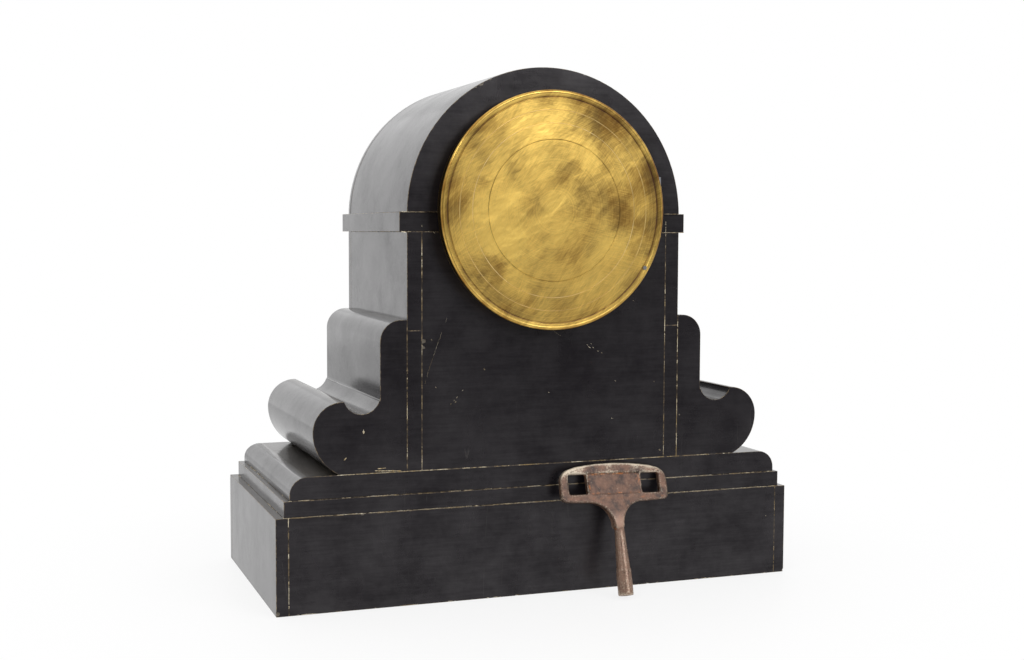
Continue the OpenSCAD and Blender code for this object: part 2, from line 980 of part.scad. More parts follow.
// Friction-tight pipe on the centre arbor, with the pinion that drives the motion work
module cannon_pinion() {
    turn = 0;
    color(steel_grey)
        difference() {
            union() {
                rod_y(centre_at, cannon_r, minute_hand_y - hand_t - 0.8, front_plate_y - air);
                pinion(centre_at, cannon_teeth, cannon_m, turn, cannon_y, front_plate_y - 1.5);
            }
            rod_y(centre_at, arbor_r + run, minute_hand_y - hand_t - 2, front_plate_y);
        }
}

module minute_wheel() {
    turn = mesh_turn(0, cannon_teeth, minute_teeth, towards(centre_at, minute_at));
    color(brass_clean)
        difference() {
            union() {
                wheel(minute_at, minute_teeth, cannon_m, turn, minute_wheel_y, minute_wheel_y + wheel_t, 4);
                pinion(minute_at, minute_pinion, hour_m, turn, hour_wheel_y - 0.3, minute_wheel_y + 0.1);
                rod_y(minute_at, 2.4, minute_wheel_y, front_plate_y - air);
            }
            rod_y(minute_at, minute_stud_r + run, hour_wheel_y - 2, front_plate_y);
        }
}

module hour_wheel() {
    minute_turn = mesh_turn(0, cannon_teeth, minute_teeth, towards(centre_at, minute_at));
    turn = mesh_turn(minute_turn, minute_pinion, hour_teeth, towards(minute_at, centre_at));
    color(brass_clean)
        difference() {
            union() {
                wheel(centre_at, hour_teeth, hour_m, turn, hour_wheel_y, hour_wheel_y + wheel_t, 4);
                rod_y(centre_at, hour_pipe_r, hour_hand_y - hand_t - 0.2, hour_wheel_y + wheel_t);
            }
            rod_y(centre_at, cannon_r + run, hour_hand_y - 3, hour_wheel_y + wheel_t + 1);
        }
}

// Round plate with its pivot holes
module plate_blank(ya, yb) {
    difference() {
        rod_y(centre_at, plate_r, ya, yb);
        for (at = [second_at, third_at, escape_at, pin_at, warning_at, fly_at])
            rod_y(at, pivot_r + run, ya - 1, yb + 1);
        children();
    }
}

// Front plate, with the studs for the minute wheel and the clicks
module front_plate() {
    color(brass_clean) {
        plate_blank(front_plate_y, inner_y) {
            rod_y(centre_at, arbor_r + run, front_plate_y - 1, inner_y + 1);
            rod_y(hammer_at, pivot_r + run, front_plate_y - 1, inner_y + 1);
            rod_y(pallet_at, pivot_r + run, front_plate_y - 1, inner_y + 1);
            for (at = [going_at, strike_at])
                rod_y(at, journal_r + run, front_plate_y - 1, inner_y + 1);
        }
        rod_y(minute_at, minute_stud_r, hour_wheel_y - 0.2, front_plate_y + 0.1);
        for (at = [click_at(going_at, going_click_angle), click_at(strike_at, strike_click_angle)])
            rod_y(at, click_stud_r, ratchet_y - 0.4, front_plate_y + 0.1);
    }
}

function click_at(at, a) = at + polar(click_reach, a);

module back_plate() {
    color(brass_clean)
        plate_blank(outer_y, rear_y) {
            rod_y(centre_at, pivot_r + run, outer_y - 1, rear_y + 1);
            rod_y(hammer_at, arbor_r + run, outer_y - 1, rear_y + 1);
            rod_y(pallet_at, arbor_r + run, outer_y - 1, rear_y + 1);
            rod_y(going_at, rear_journal_r + run, outer_y - 1, rear_y + 1);
            rod_y(strike_at, pipe_r + run, outer_y - 1, rear_y + 1);
        }
}

module plate_pillars() {
    color(brass_clean)
        for (a = pillar_angles)
            difference() {
                rod_y(polar(pillar_ring, a), pillar_r, inner_y, outer_y);
                translate([0, 0, dial_z])
                    for (y = [inner_y + 6, outer_y - 6])
                        translate([pillar_ring * cos(a), y, pillar_ring * sin(a)])
                            rotate([90, 0, 0])
                                rotate_extrude($fn = 32)
                                    translate([pillar_r + 0.3, 0])
                                        circle(0.8, $fn = 24);
            }
}

// Spring barrel with its toothed great wheel
module barrel(at, turn) {
    difference() {
        union() {
            rod_y(at, barrel_r, barrel_y, great_y);
            plate_y(great_y - 0.1, great_y + great_t)
                translate(at)
                    wheel2d(great_teeth, great_m, turn);
            rod_y(at, barrel_r - 6, great_y, great_y + great_t + 0.8);
        }
        rod_y(at, winding_r + run, barrel_y - 1, great_y + great_t + 2);
    }
}

module going_barrel() {
    color(brass_clean)
        barrel(going_at, going_turn);
}

module strike_barrel() {
    color(brass_clean)
        barrel(strike_at, strike_turn);
}

// Winding square, ratchet and arbor of one barrel; rear_r is the radius of its rear end
module winding_arbor(at, rear_r, rear_end) {
    plate_y(square_front, ratchet_y + ratchet_t)
        translate(at)
            square(square_w, center = true);
    plate_y(ratchet_y, ratchet_y + ratchet_t)
        translate(at)
            ratchet2d();
    rod_y(at, journal_r, ratchet_y + ratchet_t - 0.1, inner_y + end_play);
    rod_y(at, winding_r, inner_y + end_play, great_y + great_t);
    rod_y(at, rear_r, great_y + great_t - 0.1, rear_end);
}

module ratchet2d() {
    step = 360 / ratchet_teeth;
    polygon([for (k = [0 : ratchet_teeth - 1], r = [ratchet_r, ratchet_r - ratchet_depth])
        polar(r, k * step)]);
}

module going_arbor() {
    color(steel_grey)
        winding_arbor(going_at, rear_journal_r, outer_y + pivot_len);
}

module strike_arbor() {
    color(steel_grey)
        winding_arbor(strike_at, rear_journal_r, count_y + 2);
}

// Click: a bar from its stud, with a nose in a notch of the ratchet
module click(at, a) {
    step = 360 / ratchet_teeth;
    notch = round((a - click_spread) / step) * step;
    stud = polar(click_reach, a);
    rim = ratchet_r + 0.3;
    plate_y(ratchet_y, ratchet_y + ratchet_t)
        translate(at)
            difference() {
                union() {
                    translate(stud)
                        circle(2.6, $fn = 32);
                    difference() {
                        bar2d(stud, polar(ratchet_r + 1.2, notch + 9), 2.4);
                        circle(rim, $fn = 64);
                    }
                    polygon([
                        polar(ratchet_r - ratchet_depth + 0.4, notch + 4.6),
                        polar(rim + 0.9, notch + 4.6), polar(rim + 0.9, notch + 14), polar(rim, notch + 14)
                    ]);
                }
                translate(stud)
                    circle(click_stud_r + run, $fn = 32);
            }
}

module going_click() {
    color(steel_grey)
        click(going_at, going_click_angle);
}

module strike_click() {
    color(steel_grey)
        click(strike_at, strike_click_angle);
}

// Wheels of the going train
module second_wheel() {
    color(brass_clean) {
        arbor(second_at);
        wheel(second_at, second_teeth, second_m, second_turn, second_y, second_y + wheel_t, 4);
        pinion(second_at, barrel_pinion, great_m, second_turn, great_y - leaf_over, great_y + great_t + leaf_over);
    }
}

module centre_wheel() {
    color(brass_clean) {
        rod_y(centre_at, arbor_r, minute_hand_y - hand_t - 1, outer_y - end_play);
        rod_y(centre_at, pivot_r, outer_y - 1, outer_y + pivot_len);
        wheel(centre_at, centre_teeth, centre_m, centre_turn, centre_y, centre_y + wheel_t, 4);
        pinion(centre_at, centre_pinion, second_m, centre_turn, second_y - leaf_over, second_y + wheel_t + leaf_over);
    }
}

module third_wheel() {
    color(brass_clean) {
        arbor(third_at, thin_arbor_r);
        wheel(third_at, third_teeth, third_m, third_turn, third_y, third_y + wheel_t, 4);
        pinion(third_at, third_pinion, centre_m, third_turn, centre_y - leaf_over, centre_y + wheel_t + leaf_over);
    }
}

// Escape wheel with slender pointed teeth
module escape_wheel() {
    tip_r = 9.2;
    root_r = 7.8;
    lean = 1.6;
    color(brass_clean) {
        arbor(escape_at, thin_arbor_r);
        plate_y(escape_y, escape_y + wheel_t)
            translate(escape_at)
                difference() {
                    polygon([for (k = [0 : escape_teeth - 1], s = [[-lean, root_r], [0, tip_r], [lean, root_r]])
                        polar(s[1], k * 360 / escape_teeth + s[0])]);
                    crossings2d(6.2, 2.6, 4);
                }
        pinion(escape_at, escape_pinion, third_m, escape_pinion_turn, third_y - leaf_over, third_y + wheel_t + leaf_over);
    }
}

// Pallets and crutch on one arbor
module pallets() {
    arm = 8.6;
    bite = 8.9;
    fork_z = pallet_at.y - 21;
    fork_gap = rod_r + 0.15;
    color(steel_grey) {
        rod_y(pallet_at, arbor_r, inner_y + end_play, cock_y - end_play);
        rod_y(pallet_at, pivot_r, inner_y - pivot_len, cock_y + pivot_len);
        plate_y(escape_y - 0.2, escape_y + wheel_t + 0.2) {
            translate(pallet_at)
                circle(2, $fn = 32);
            for (side = [-1, 1]) {
                elbow = escape_at + polar(12.4, 90 - side * 42);
                bar2d(pallet_at, elbow, 1.6);
                bar2d(elbow, escape_at + polar(bite + 0.25, 90 - side * 45), 0.5);
            }
        }
        plate_y(crutch_y, crutch_y + crutch_t) {
            translate(pallet_at)
                circle(2, $fn = 32);
            bar2d(pallet_at, [0, fork_z], 1.6);
            translate([0, fork_z])
                square([2 * fork_gap + 2.4, 1.6], center = true);
        }
        plate_y(crutch_y, rod_y0 + rod_r + 0.6)
            for (side = [-1, 1])
                translate([side * (fork_gap + 0.6), fork_z])
                    square([1.2, 1.6], center = true);
    }
}

// Bridge behind the back plate: it carries the pallet arbor and the pendulum
module back_cock() {
    color(brass_clean)
        difference() {
            union() {
                for (side = [-1, 1])
                    rod_y(pallet_at + [side * 9, 0], 2.6, rear_y, cock_y + 0.1);
                plate_y(cock_y, cock_y + cock_t)
                    bar2d(pallet_at + [-9, 0], pallet_at + [9, 0], 7);
                plate_y(cock_y + cock_t - 0.1, rod_y0 + hang_block)
                    translate(pallet_at + [0, 2.5])
                        square([7, 8], center = true);
            }
            rod_y(pallet_at, pivot_r + run, cock_y - 1, cock_y + cock_t);
            rod_y(pallet_at, cross_pin_r + run, cock_y + cock_t, rod_y0 + hang_block + 1);
            block(-4, 4, rod_y0 - hang_half, rod_y0 + hang_half, dial_z + pallet_at.y - 5, dial_z + pallet_at.y + 3);
        }
}

// Suspension strip, cross pin and rod
module pendulum_rod() {
    strip_t = 0.4;
    top_z = dial_z + pallet_at.y;
    bob_z = top_z - pendulum_len;
    color(steel_grey) {
        rod_y(pallet_at, cross_pin_r, rod_y0 - hang_block + 1, rod_y0 + hang_block - 0.5);
        block(-strip_t / 2, strip_t / 2, rod_y0 - hang_half + 0.3, rod_y0 + hang_half - 0.3, top_z - 7, top_z);
        translate([0, rod_y0, bob_z - bob_r - nut_h - 4])
            cylinder(h = pendulum_len + bob_r + nut_h + 4 - 6, r = rod_r, $fn = 32);
    }
}

// Lens-shaped bob
module pendulum_bob() {
    bulge = (bob_r * bob_r + bob_t * bob_t / 4) / bob_t;
    top_z = dial_z + pallet_at.y;
    color(brass_aged)
        difference() {
            translate([0, rod_y0, top_z - pendulum_len])
                rotate([-90, 0, 0])
                    rotate_extrude($fn = 64)
                        intersection() {
                            translate([0, bulge - bob_t / 2])
                                circle(bulge, $fn = 96);
                            translate([0, -bulge + bob_t / 2])
                                circle(bulge, $fn = 96);
                            translate([0, -bob_t])
                                square([bob_r - 0.4, 2 * bob_t]);
                        }
            translate([0, rod_y0, top_z - pendulum_len - bob_r - 1])
                cylinder(h = 2 * bob_r + 2, r = rod_r, $fn = 32);
        }
}

// Knurled nut under the bob
module rating_nut() {
    notches = 16;
    top_z = dial_z + pallet_at.y - pendulum_len - bob_r - 0.1;
    color(brass_clean)
        translate([0, rod_y0, top_z - nut_h])
            linear_extrude(nut_h)
                difference() {
                    circle(nut_r, $fn = 48);
                    for (k = [0 : notches - 1])
                        translate(polar(nut_r + 0.2, k * 360 / notches))
                            circle(0.5, $fn = 16);
                    circle(rod_r + run, $fn = 32);
                }
}

// Notched wheel that counts the strokes, on a pipe through the back plate
module count_wheel() {
    color(brass_clean)
        difference() {
            union() {
                rod_y(strike_at, pipe_r, great_y + great_t + 0.8, count_y + wheel_t);
                plate_y(count_y, count_y + wheel_t)
                    translate(strike_at)
                        difference() {
                            circle(count_r, $fn = 96);
                            for (strokes = [1 : 12])
                                rotate(-count_turn(strokes))
                                    translate([count_r - 1.6, -0.6])
                                        square([4, 1.2]);
                            crossings2d(count_r - 4, 4.2, 5);
                        }
            }
            rod_y(strike_at, rear_journal_r + run, great_y + great_t, count_y + wheel_t + 1);
        }
}

// A hour takes as many steps as it strikes and one more for the half hour
function count_turn(hour) = hour == 0 ? 0 : count_turn(hour - 1) + (hour + 1) * 360 / 90;

// Wheels of the strike train
module pin_wheel() {
    pins = 8;
    first_pin = towards(pin_at, hammer_at) + 180 / pins;
    color(brass_clean) {
        arbor(pin_at);
        wheel(pin_at, pin_teeth, second_m, pin_turn, pin_y, pin_y + wheel_t, 4);
        pinion(pin_at, barrel_pinion, great_m, pin_turn, great_y - leaf_over, great_y + great_t + leaf_over);
        for (k = [0 : pins - 1])
            rod_y(pin_at + polar(pin_ring, first_pin + k * 360 / pins), pin_r,
                  pin_y + wheel_t - 0.2, pin_y + wheel_t + pin_len);
    }
}

module warning_wheel() {
    color(brass_clean) {
        arbor(warning_at);
        wheel(warning_at, warning_teeth, warning_m, warning_turn, warning_y, warning_y + wheel_t, 4);
        pinion(warning_at, warning_pinion, second_m, warning_turn, pin_y - leaf_over, pin_y + wheel_t + leaf_over);
    }
}

// Air brake of the strike train
module fly() {
    blade = 11;
    color(brass_clean) {
        arbor(fly_at, thin_arbor_r);
        pinion(fly_at, fly_pinion, warning_m, fly_turn, warning_y - leaf_over, warning_y + wheel_t + leaf_over);
        plate_y(fly_y, fly_y + fly_len)
            translate(fly_at)
                rotate(30)
                    square([blade, 0.6], center = true);
    }
}

// Hammer with its arbor and lifting tail, which reaches between two pins
// Its tail ends just outside the circle of the lifting pins
module hammer() {
    tail = norm(pin_at - hammer_at) - pin_ring - pin_r - 0.9;
    tail_tip = hammer_at + polar(tail, towards(hammer_at, pin_at));
    color(steel_grey) {
        rod_y(hammer_at, arbor_r, inner_y + end_play, hammer_y + 1);
        rod_y(hammer_at, pivot_r, inner_y - pivot_len, inner_y + 1);
        plate_y(tail_y, tail_y + 1.5)
            bar2d(hammer_at, tail_tip, 1.2);
        plate_y(hammer_y, hammer_y + 1.6) {
            translate(hammer_at)
                circle(2.2, $fn = 32);
            bar2d(hammer_at, hammer_head_at, 1.8);
        }
        rod_y(hammer_head_at, hammer_head_r, hammer_y, bell_rim_y + 6);
    }
}

// Cup-shaped bell
module bell() {
    ball = (bell_r * bell_r + bell_depth * bell_depth) / (2 * bell_depth);
    middle = bell_rim_y + bell_depth - ball;
    color(bronze)
        turned_y()
            difference() {
                translate([0, middle])
                    circle(ball, $fn = 128);
                translate([0, middle])
                    circle(ball - bell_t, $fn = 128);
                translate([-2 * ball, middle - 2 * ball])
                    square([4 * ball, 2 * ball + bell_rim_y - middle]);
                translate([-2 * ball, middle - 2 * ball])
                    square([2 * ball + bell_screw_r, 4 * ball]);
            }
}

module bell_stand() {
    arm_y = bell_rim_y + bell_depth - 9.5;
    apex = bell_rim_y + bell_depth;
    color(brass_clean) {
        rod_y(bell_post_at, bell_post_r, rear_y, arm_y + 1);
        rod_y(bell_post_at, bell_post_r + 1.4, rear_y, rear_y + 2);
        plate_y(arm_y, arm_y + 2.5)
            bar2d(bell_post_at, centre_at, 5);
        rod_y(centre_at, bell_screw_r, arm_y + 1, apex + 3.4);
        rod_y(centre_at, 3.2, arm_y + 1, apex - bell_t - 0.2);
        rod_y(centre_at, 3.6, apex, apex + 2.4);
    }
}

// Points of an arc from one angle to another
function arc(at, r, from, to, parts) =
    [for (k = [0 : parts]) at + polar(r, from + (to - from) * k / parts)];

// Right half of the handle outline, from the neck round to the top, up from the open end of the shank
function key_half() =
    let (hollow_at = [key_neck_half + key_hollow, key_neck],
         low = [key_half_w - key_low_r, key_low + key_low_r],
         high = [key_half_w - key_high_r, key_len - 3 - key_high_r])
    concat(
        arc(hollow_at, key_hollow, 180, 98, 10),
        arc(low, key_low_r, -82, -6, 6),
        arc(high, key_high_r, 6, 76, 6),
        [for (share = [0.7, 0.5, 0.3]) [key_half_w * share, key_len - key_crown * share * share]]
    );

// Handle with its two windows
module key_handle2d() {
    half = key_half();
    count = len(half);
    difference() {
        polygon(concat(
            half,
            [[0, key_len]],
            [for (k = [count - 1 : -1 : 0]) [-half[k].x, half[k].y]],
            [[-key_neck_half + 1, key_neck - 1.6], [key_neck_half - 1, key_neck - 1.6]]
        ));
        for (side = [-1, 1])
            translate([side * (key_panel_half + key_window / 2 + 0.8), key_low + 4.8 + key_window / 2])
                square([key_window, key_window], center = true);
    }
}

// Side view of the handle: as thick as the shank at the neck, thinner at the windows
module key_side2d() {
    neck = key_neck_half + 0.1;
    polygon([
        [-neck, key_neck - 3], [-neck, key_neck + 2], [-key_t / 2, key_low + 2], [-key_t / 2, key_len + 1],
        [key_t / 2, key_len + 1], [key_t / 2, key_low + 2], [neck, key_neck + 2], [neck, key_neck - 3]
    ]);
}

// Shank with its socket, and the handle bent a little on it, with a shallow panel on both faces
module key_body() {
    panel = 0.4;
    difference() {
        union() {
            rotate([0, key_bend, 0])
                difference() {
                    intersection() {
                        panel_y(-key_t, key_t)
                            key_handle2d();
                        rotate([90, 0, 90])
                            linear_extrude(2 * key_half_w + 2, center = true)
                                key_side2d();
                    }
                    for (side = [-1, 1])
                        translate([-key_panel_half, side > 0 ? key_t / 2 - panel : -key_t / 2 - 1, key_low + 4.2])
                            cube([2 * key_panel_half, panel + 1, key_window + 1.2]);
                }
            rotate_extrude($fn = 64)
                polygon([
                    [0, 0], [key_shank_r, 0], [key_shank_r - 0.1, key_step - 1], [key_shank_r - 0.5, key_step],
                    [key_neck_half - 0.2, key_neck - 1], [key_neck_half - 0.9, key_neck + 4], [0, key_neck + 4]
                ]);
        }
        translate([-square_w / 2 - 0.1, -square_w / 2 - 0.1, -1])
            cube([square_w + 0.2, square_w + 0.2, socket_depth + 1]);
    }
}

// Leans with its head against the plinth and its open end on the floor
module winding_key() {
    lift = key_shank_r * sin(acos(cos(key_lean) * cos(key_roll))) + 0.01;
    head_roll = key_roll + key_bend;
    reach = max([
        for (point = key_half(), side = [-1, 1])
            let (across = side * point.x * cos(head_roll) + point.y * sin(head_roll),
                 up = -side * point.x * sin(head_roll) + point.y * cos(head_roll))
            (up * sin(key_lean) + key_t / 2 * cos(key_lean)) * cos(key_turn) - across * sin(key_turn)
    ]);
    key_y = body_back + reach + air;
    color(iron_rusty)
        translate([key_x, key_y, lift])
            rotate([0, 0, key_turn])
                rotate([key_lean, 0, 0])
                    rotate([0, key_roll, 0])
                        key_body();
}

base_front_slab();
base_back_slab();
base_left_slab();
base_right_slab();
base_bottom_slab();
fillet_slab();
plinth_slab();
scroll_left();
scroll_right();
lower_side_left();
lower_side_right();
upper_side_left();
upper_side_right();
back_panel();
front_panel();
band_left();
band_right();
arch_block();
rear_ring();
rear_hinge_pin();
rear_cover();
cover_rivet();
case_straps();
strap_screws();
dial_ring();
dial();
door_frame();
door_glass();
door_hinge_pin();
minute_hand();
cannon_pinion();
hour_hand();
hour_wheel();
minute_wheel();
front_plate();
back_plate();
plate_pillars();
going_barrel();
going_arbor();
going_click();
second_wheel();
centre_wheel();
third_wheel();
escape_wheel();
pallets();
back_cock();
pendulum_rod();
pendulum_bob();
rating_nut();
strike_barrel();
strike_arbor();
strike_click();
count_wheel();
pin_wheel();
warning_wheel();
fly();
hammer();
bell();
bell_stand();
winding_key();
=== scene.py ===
from functools import partial
from math import cos, pi, radians, sin

import bmesh
import bpy
import numpy
from bpy.props import FloatProperty, FloatVectorProperty, IntProperty, PointerProperty
from mathutils import Matrix, Vector, noise


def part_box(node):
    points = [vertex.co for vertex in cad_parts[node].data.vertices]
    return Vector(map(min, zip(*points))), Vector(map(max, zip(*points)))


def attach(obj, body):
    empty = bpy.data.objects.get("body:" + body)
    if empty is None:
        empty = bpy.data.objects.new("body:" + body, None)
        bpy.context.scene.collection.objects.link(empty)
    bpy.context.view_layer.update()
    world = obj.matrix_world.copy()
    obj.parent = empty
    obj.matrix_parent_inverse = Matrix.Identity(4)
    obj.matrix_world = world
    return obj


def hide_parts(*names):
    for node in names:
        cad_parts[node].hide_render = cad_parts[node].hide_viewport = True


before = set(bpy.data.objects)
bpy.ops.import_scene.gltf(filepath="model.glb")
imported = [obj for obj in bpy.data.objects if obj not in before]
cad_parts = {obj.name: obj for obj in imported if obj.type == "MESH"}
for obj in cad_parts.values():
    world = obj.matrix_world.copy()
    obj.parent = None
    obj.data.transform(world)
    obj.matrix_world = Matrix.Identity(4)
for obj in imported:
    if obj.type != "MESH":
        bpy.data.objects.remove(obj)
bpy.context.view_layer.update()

bl_info = {
    "name": "Slate mantel clock",
    "version": (1, 0, 0),
    "blender": (4, 5, 0),
    "location": "View3D > Sidebar > Clock",
    "description": "Finishes and fine detail of a slate mantel clock with an arched top",
    "category": "Object",
}

MM = 0.001
MERGE = 0.002 * MM
BODY = "case"

SLATE_NODES = (
    "base_front_slab", "base_back_slab", "base_left_slab", "base_right_slab", "base_bottom_slab",
    "fillet_slab", "plinth_slab", "scroll_left", "scroll_right",
    "lower_side_left", "lower_side_right", "upper_side_left", "upper_side_right",
    "back_panel", "front_panel", "band_left", "band_right", "arch_block",
)
BRASS_NODES = (
    "rear_ring", "case_straps", "dial_ring", "door_frame", "cannon_pinion", "hour_wheel", "minute_wheel",
    "front_plate", "back_plate", "plate_pillars", "going_barrel", "second_wheel", "centre_wheel",
    "third_wheel", "escape_wheel", "back_cock", "pendulum_bob", "rating_nut", "strike_barrel",
    "count_wheel", "pin_wheel", "warning_wheel", "fly", "bell_stand",
)
STEEL_NODES = (
    "rear_hinge_pin", "door_hinge_pin", "going_arbor", "going_click", "strike_arbor", "strike_click",
    "pallets", "pendulum_rod", "hammer", "cover_rivet",
)
BLUED_NODES = ("strap_screws", "minute_hand", "hour_hand")


# Places read from the frame, in metres

def edge(node, side, axis):
    """One coordinate of a node's box: side 0 is its low end and side 1 its high end."""
    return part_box(node)[side][axis]


DIAL_Z = (edge("rear_ring", 0, 2) + edge("rear_ring", 1, 2)) / 2
BACK_Y = edge("back_panel", 1, 1)
COVER_Y = edge("rear_cover", 1, 1)
COVER_R = edge("rear_cover", 1, 2) - DIAL_Z
COVER_BACK = edge("rear_cover", 0, 1)
DIAL_Y = edge("dial", 0, 1)
DIAL_R = edge("dial", 1, 0)

# Turned circles of the cover and the groove beside its rolled rim, as shares of its radius
COVER_CIRCLES = (0.59, 0.726, 0.837)
COVER_GROOVE = 0.94
RIM_START, RIM_END = 0.953, 0.966


# Nodes: kinds and settings that come back often, and the function that adds one

NOISE = "ShaderNodeTexNoise"
MATH = "ShaderNodeMath"
VECTOR = "ShaderNodeVectorMath"
RANGE = "ShaderNodeMapRange"
MIX = "ShaderNodeMix"
MAPPING = "ShaderNodeMapping"
BUMP = "ShaderNodeBump"
SPLIT = "ShaderNodeSeparateXYZ"
SHADER = "ShaderNodeBsdfPrincipled"
TIMES = {"operation": "MULTIPLY"}
TIMES_PLUS = {"operation": "MULTIPLY_ADD"}
COLOUR = {"data_type": "RGBA"}
SMOOTH = {"interpolation_type": "SMOOTHSTEP"}


def connect(node, sockets):
    """Set sockets of a node: from a node or an output by a link, and from anything else as a value."""
    for key, value in sockets.items():
        if isinstance(value, bpy.types.Node):
            value = next(output for output in value.outputs if output.enabled)
        if isinstance(value, bpy.types.NodeSocket):
            node.id_data.links.new(value, node.inputs[key])
        else:
            node.inputs[key].default_value = value


def add_node(tree, kind, *values, **named):
    """Add a node. Values go in order to its sockets in use; a small name is a setting, any other a socket."""
    node = tree.nodes.new(kind)
    for name, value in named.items():
        if name.islower():
            setattr(node, name, value)
    in_use = [place for place, socket in enumerate(node.inputs) if socket.enabled]
    connect(node, dict(zip(in_use, values)))
    connect(node, {name: value for name, value in named.items() if not name.islower()})
    return node


def linear(code):
    """Linear colour of an sRGB hex value."""
    parts = [int(code[i:i + 2], 16) / 255 for i in (1, 3, 5)]
    return [p / 12.92 if p <= 0.04045 else ((p + 0.055) / 1.055) ** 2.4 for p in parts]


def rgba(code):
    return (*linear(code), 1.0)


def per(mm):
    """Texture scale whose pattern repeats about every mm millimetres."""
    return 1000.0 / mm


def bare_nodes(thing):
    """Adder of nodes for a material or a world, whose own nodes are cleared away."""
    thing.use_nodes = True
    thing.node_tree.nodes.clear()
    return partial(add_node, thing.node_tree)


def finish_of(recipe, *looks):
    """Material named after its recipe, which adds its nodes and gives the one that is the surface."""
    material = bpy.data.materials.new(recipe.__name__)
    add = bare_nodes(material)
    coords = add("ShaderNodeTexCoord").outputs["Object"]
    add("ShaderNodeOutputMaterial", Surface=recipe(add, coords, *looks))
    return material


def away_from(add, value, middle):
    """How far a value of a pattern is from a middle one, to either side."""
    return add(MATH, add(MATH, value, middle, operation="SUBTRACT"), operation="ABSOLUTE")


# Meshes

def new_mesh(name, work):
    """Mesh made from a bmesh, which is freed."""
    mesh = bpy.data.meshes.new(name)
    work.to_mesh(mesh)
    work.free()
    return mesh


def new_object(name, mesh):
    thing = bpy.data.objects.new(name, mesh)
    bpy.context.scene.collection.objects.link(thing)
    return thing


def add_piece(name, mesh, material, body):
    """Object at the origin that rides on a body. Its mesh gets the material, unless it has its own."""
    piece = new_object(name, mesh)
    if not mesh.materials:
        mesh.materials.append(material)
    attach(piece, body)
    return piece


def shade(mesh, angle=32):
    """Smooth shading, crisp at sharp corners and where a slip of a face meets a broad flat one."""
    times_broader, broad_area = 12, 40 * MM ** 2
    work = bmesh.new()
    work.from_mesh(mesh)
    work.normal_update()
    for face in work.faces:
        face.smooth = True
    for corner in work.edges:
        corner.smooth = len(corner.link_faces) == 2 and corner.calc_face_angle() < radians(angle)
        if corner.smooth:
            small, broad = sorted(face.calc_area() for face in corner.link_faces)
            corner.smooth = broad < times_broader * small or broad < broad_area
    work.to_mesh(mesh)
    work.free()


def eased_copy(node, ease, hollow=0.0):
    """Copy of a CAD node: outer corners eased by ease and marked with wear 1, inner ones filled by hollow."""
    work = bmesh.new()
    work.from_mesh(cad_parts[node].data)
    bmesh.ops.remove_doubles(work, verts=work.verts, dist=MERGE)
    bmesh.ops.dissolve_limit(work, angle_limit=radians(0.4), verts=work.verts, edges=work.edges)
    wear = work.faces.layers.float.new("wear")
    for width, outer, segments in ((hollow, False, 8), (ease, True, 2)):
        corners = [corner for corner in work.edges if len(corner.link_faces) == 2
                   and corner.is_convex == outer and corner.calc_face_angle() > radians(30)]
        if width > 0 and corners:
            made = bmesh.ops.bevel(work, geom=corners, offset=width, offset_type="OFFSET", segments=segments,
                                   profile=0.5 if hollow else 0.6, affect="EDGES", clamp_overlap=False)
            for face in made["faces"]:
                face[wear] = float(outer)
    return new_mesh(node, work)


def flat_copy(thing, name):
    """Plain mesh of an object with its modifiers applied; the object itself is removed."""
    view = bpy.context.evaluated_depsgraph_get()
    seen = thing.evaluated_get(view)
    mesh = bpy.data.meshes.new_from_object(seen, preserve_all_data_layers=True, depsgraph=view)
    mesh.name = name
    bpy.data.objects.remove(thing)
    return mesh


# Finishes

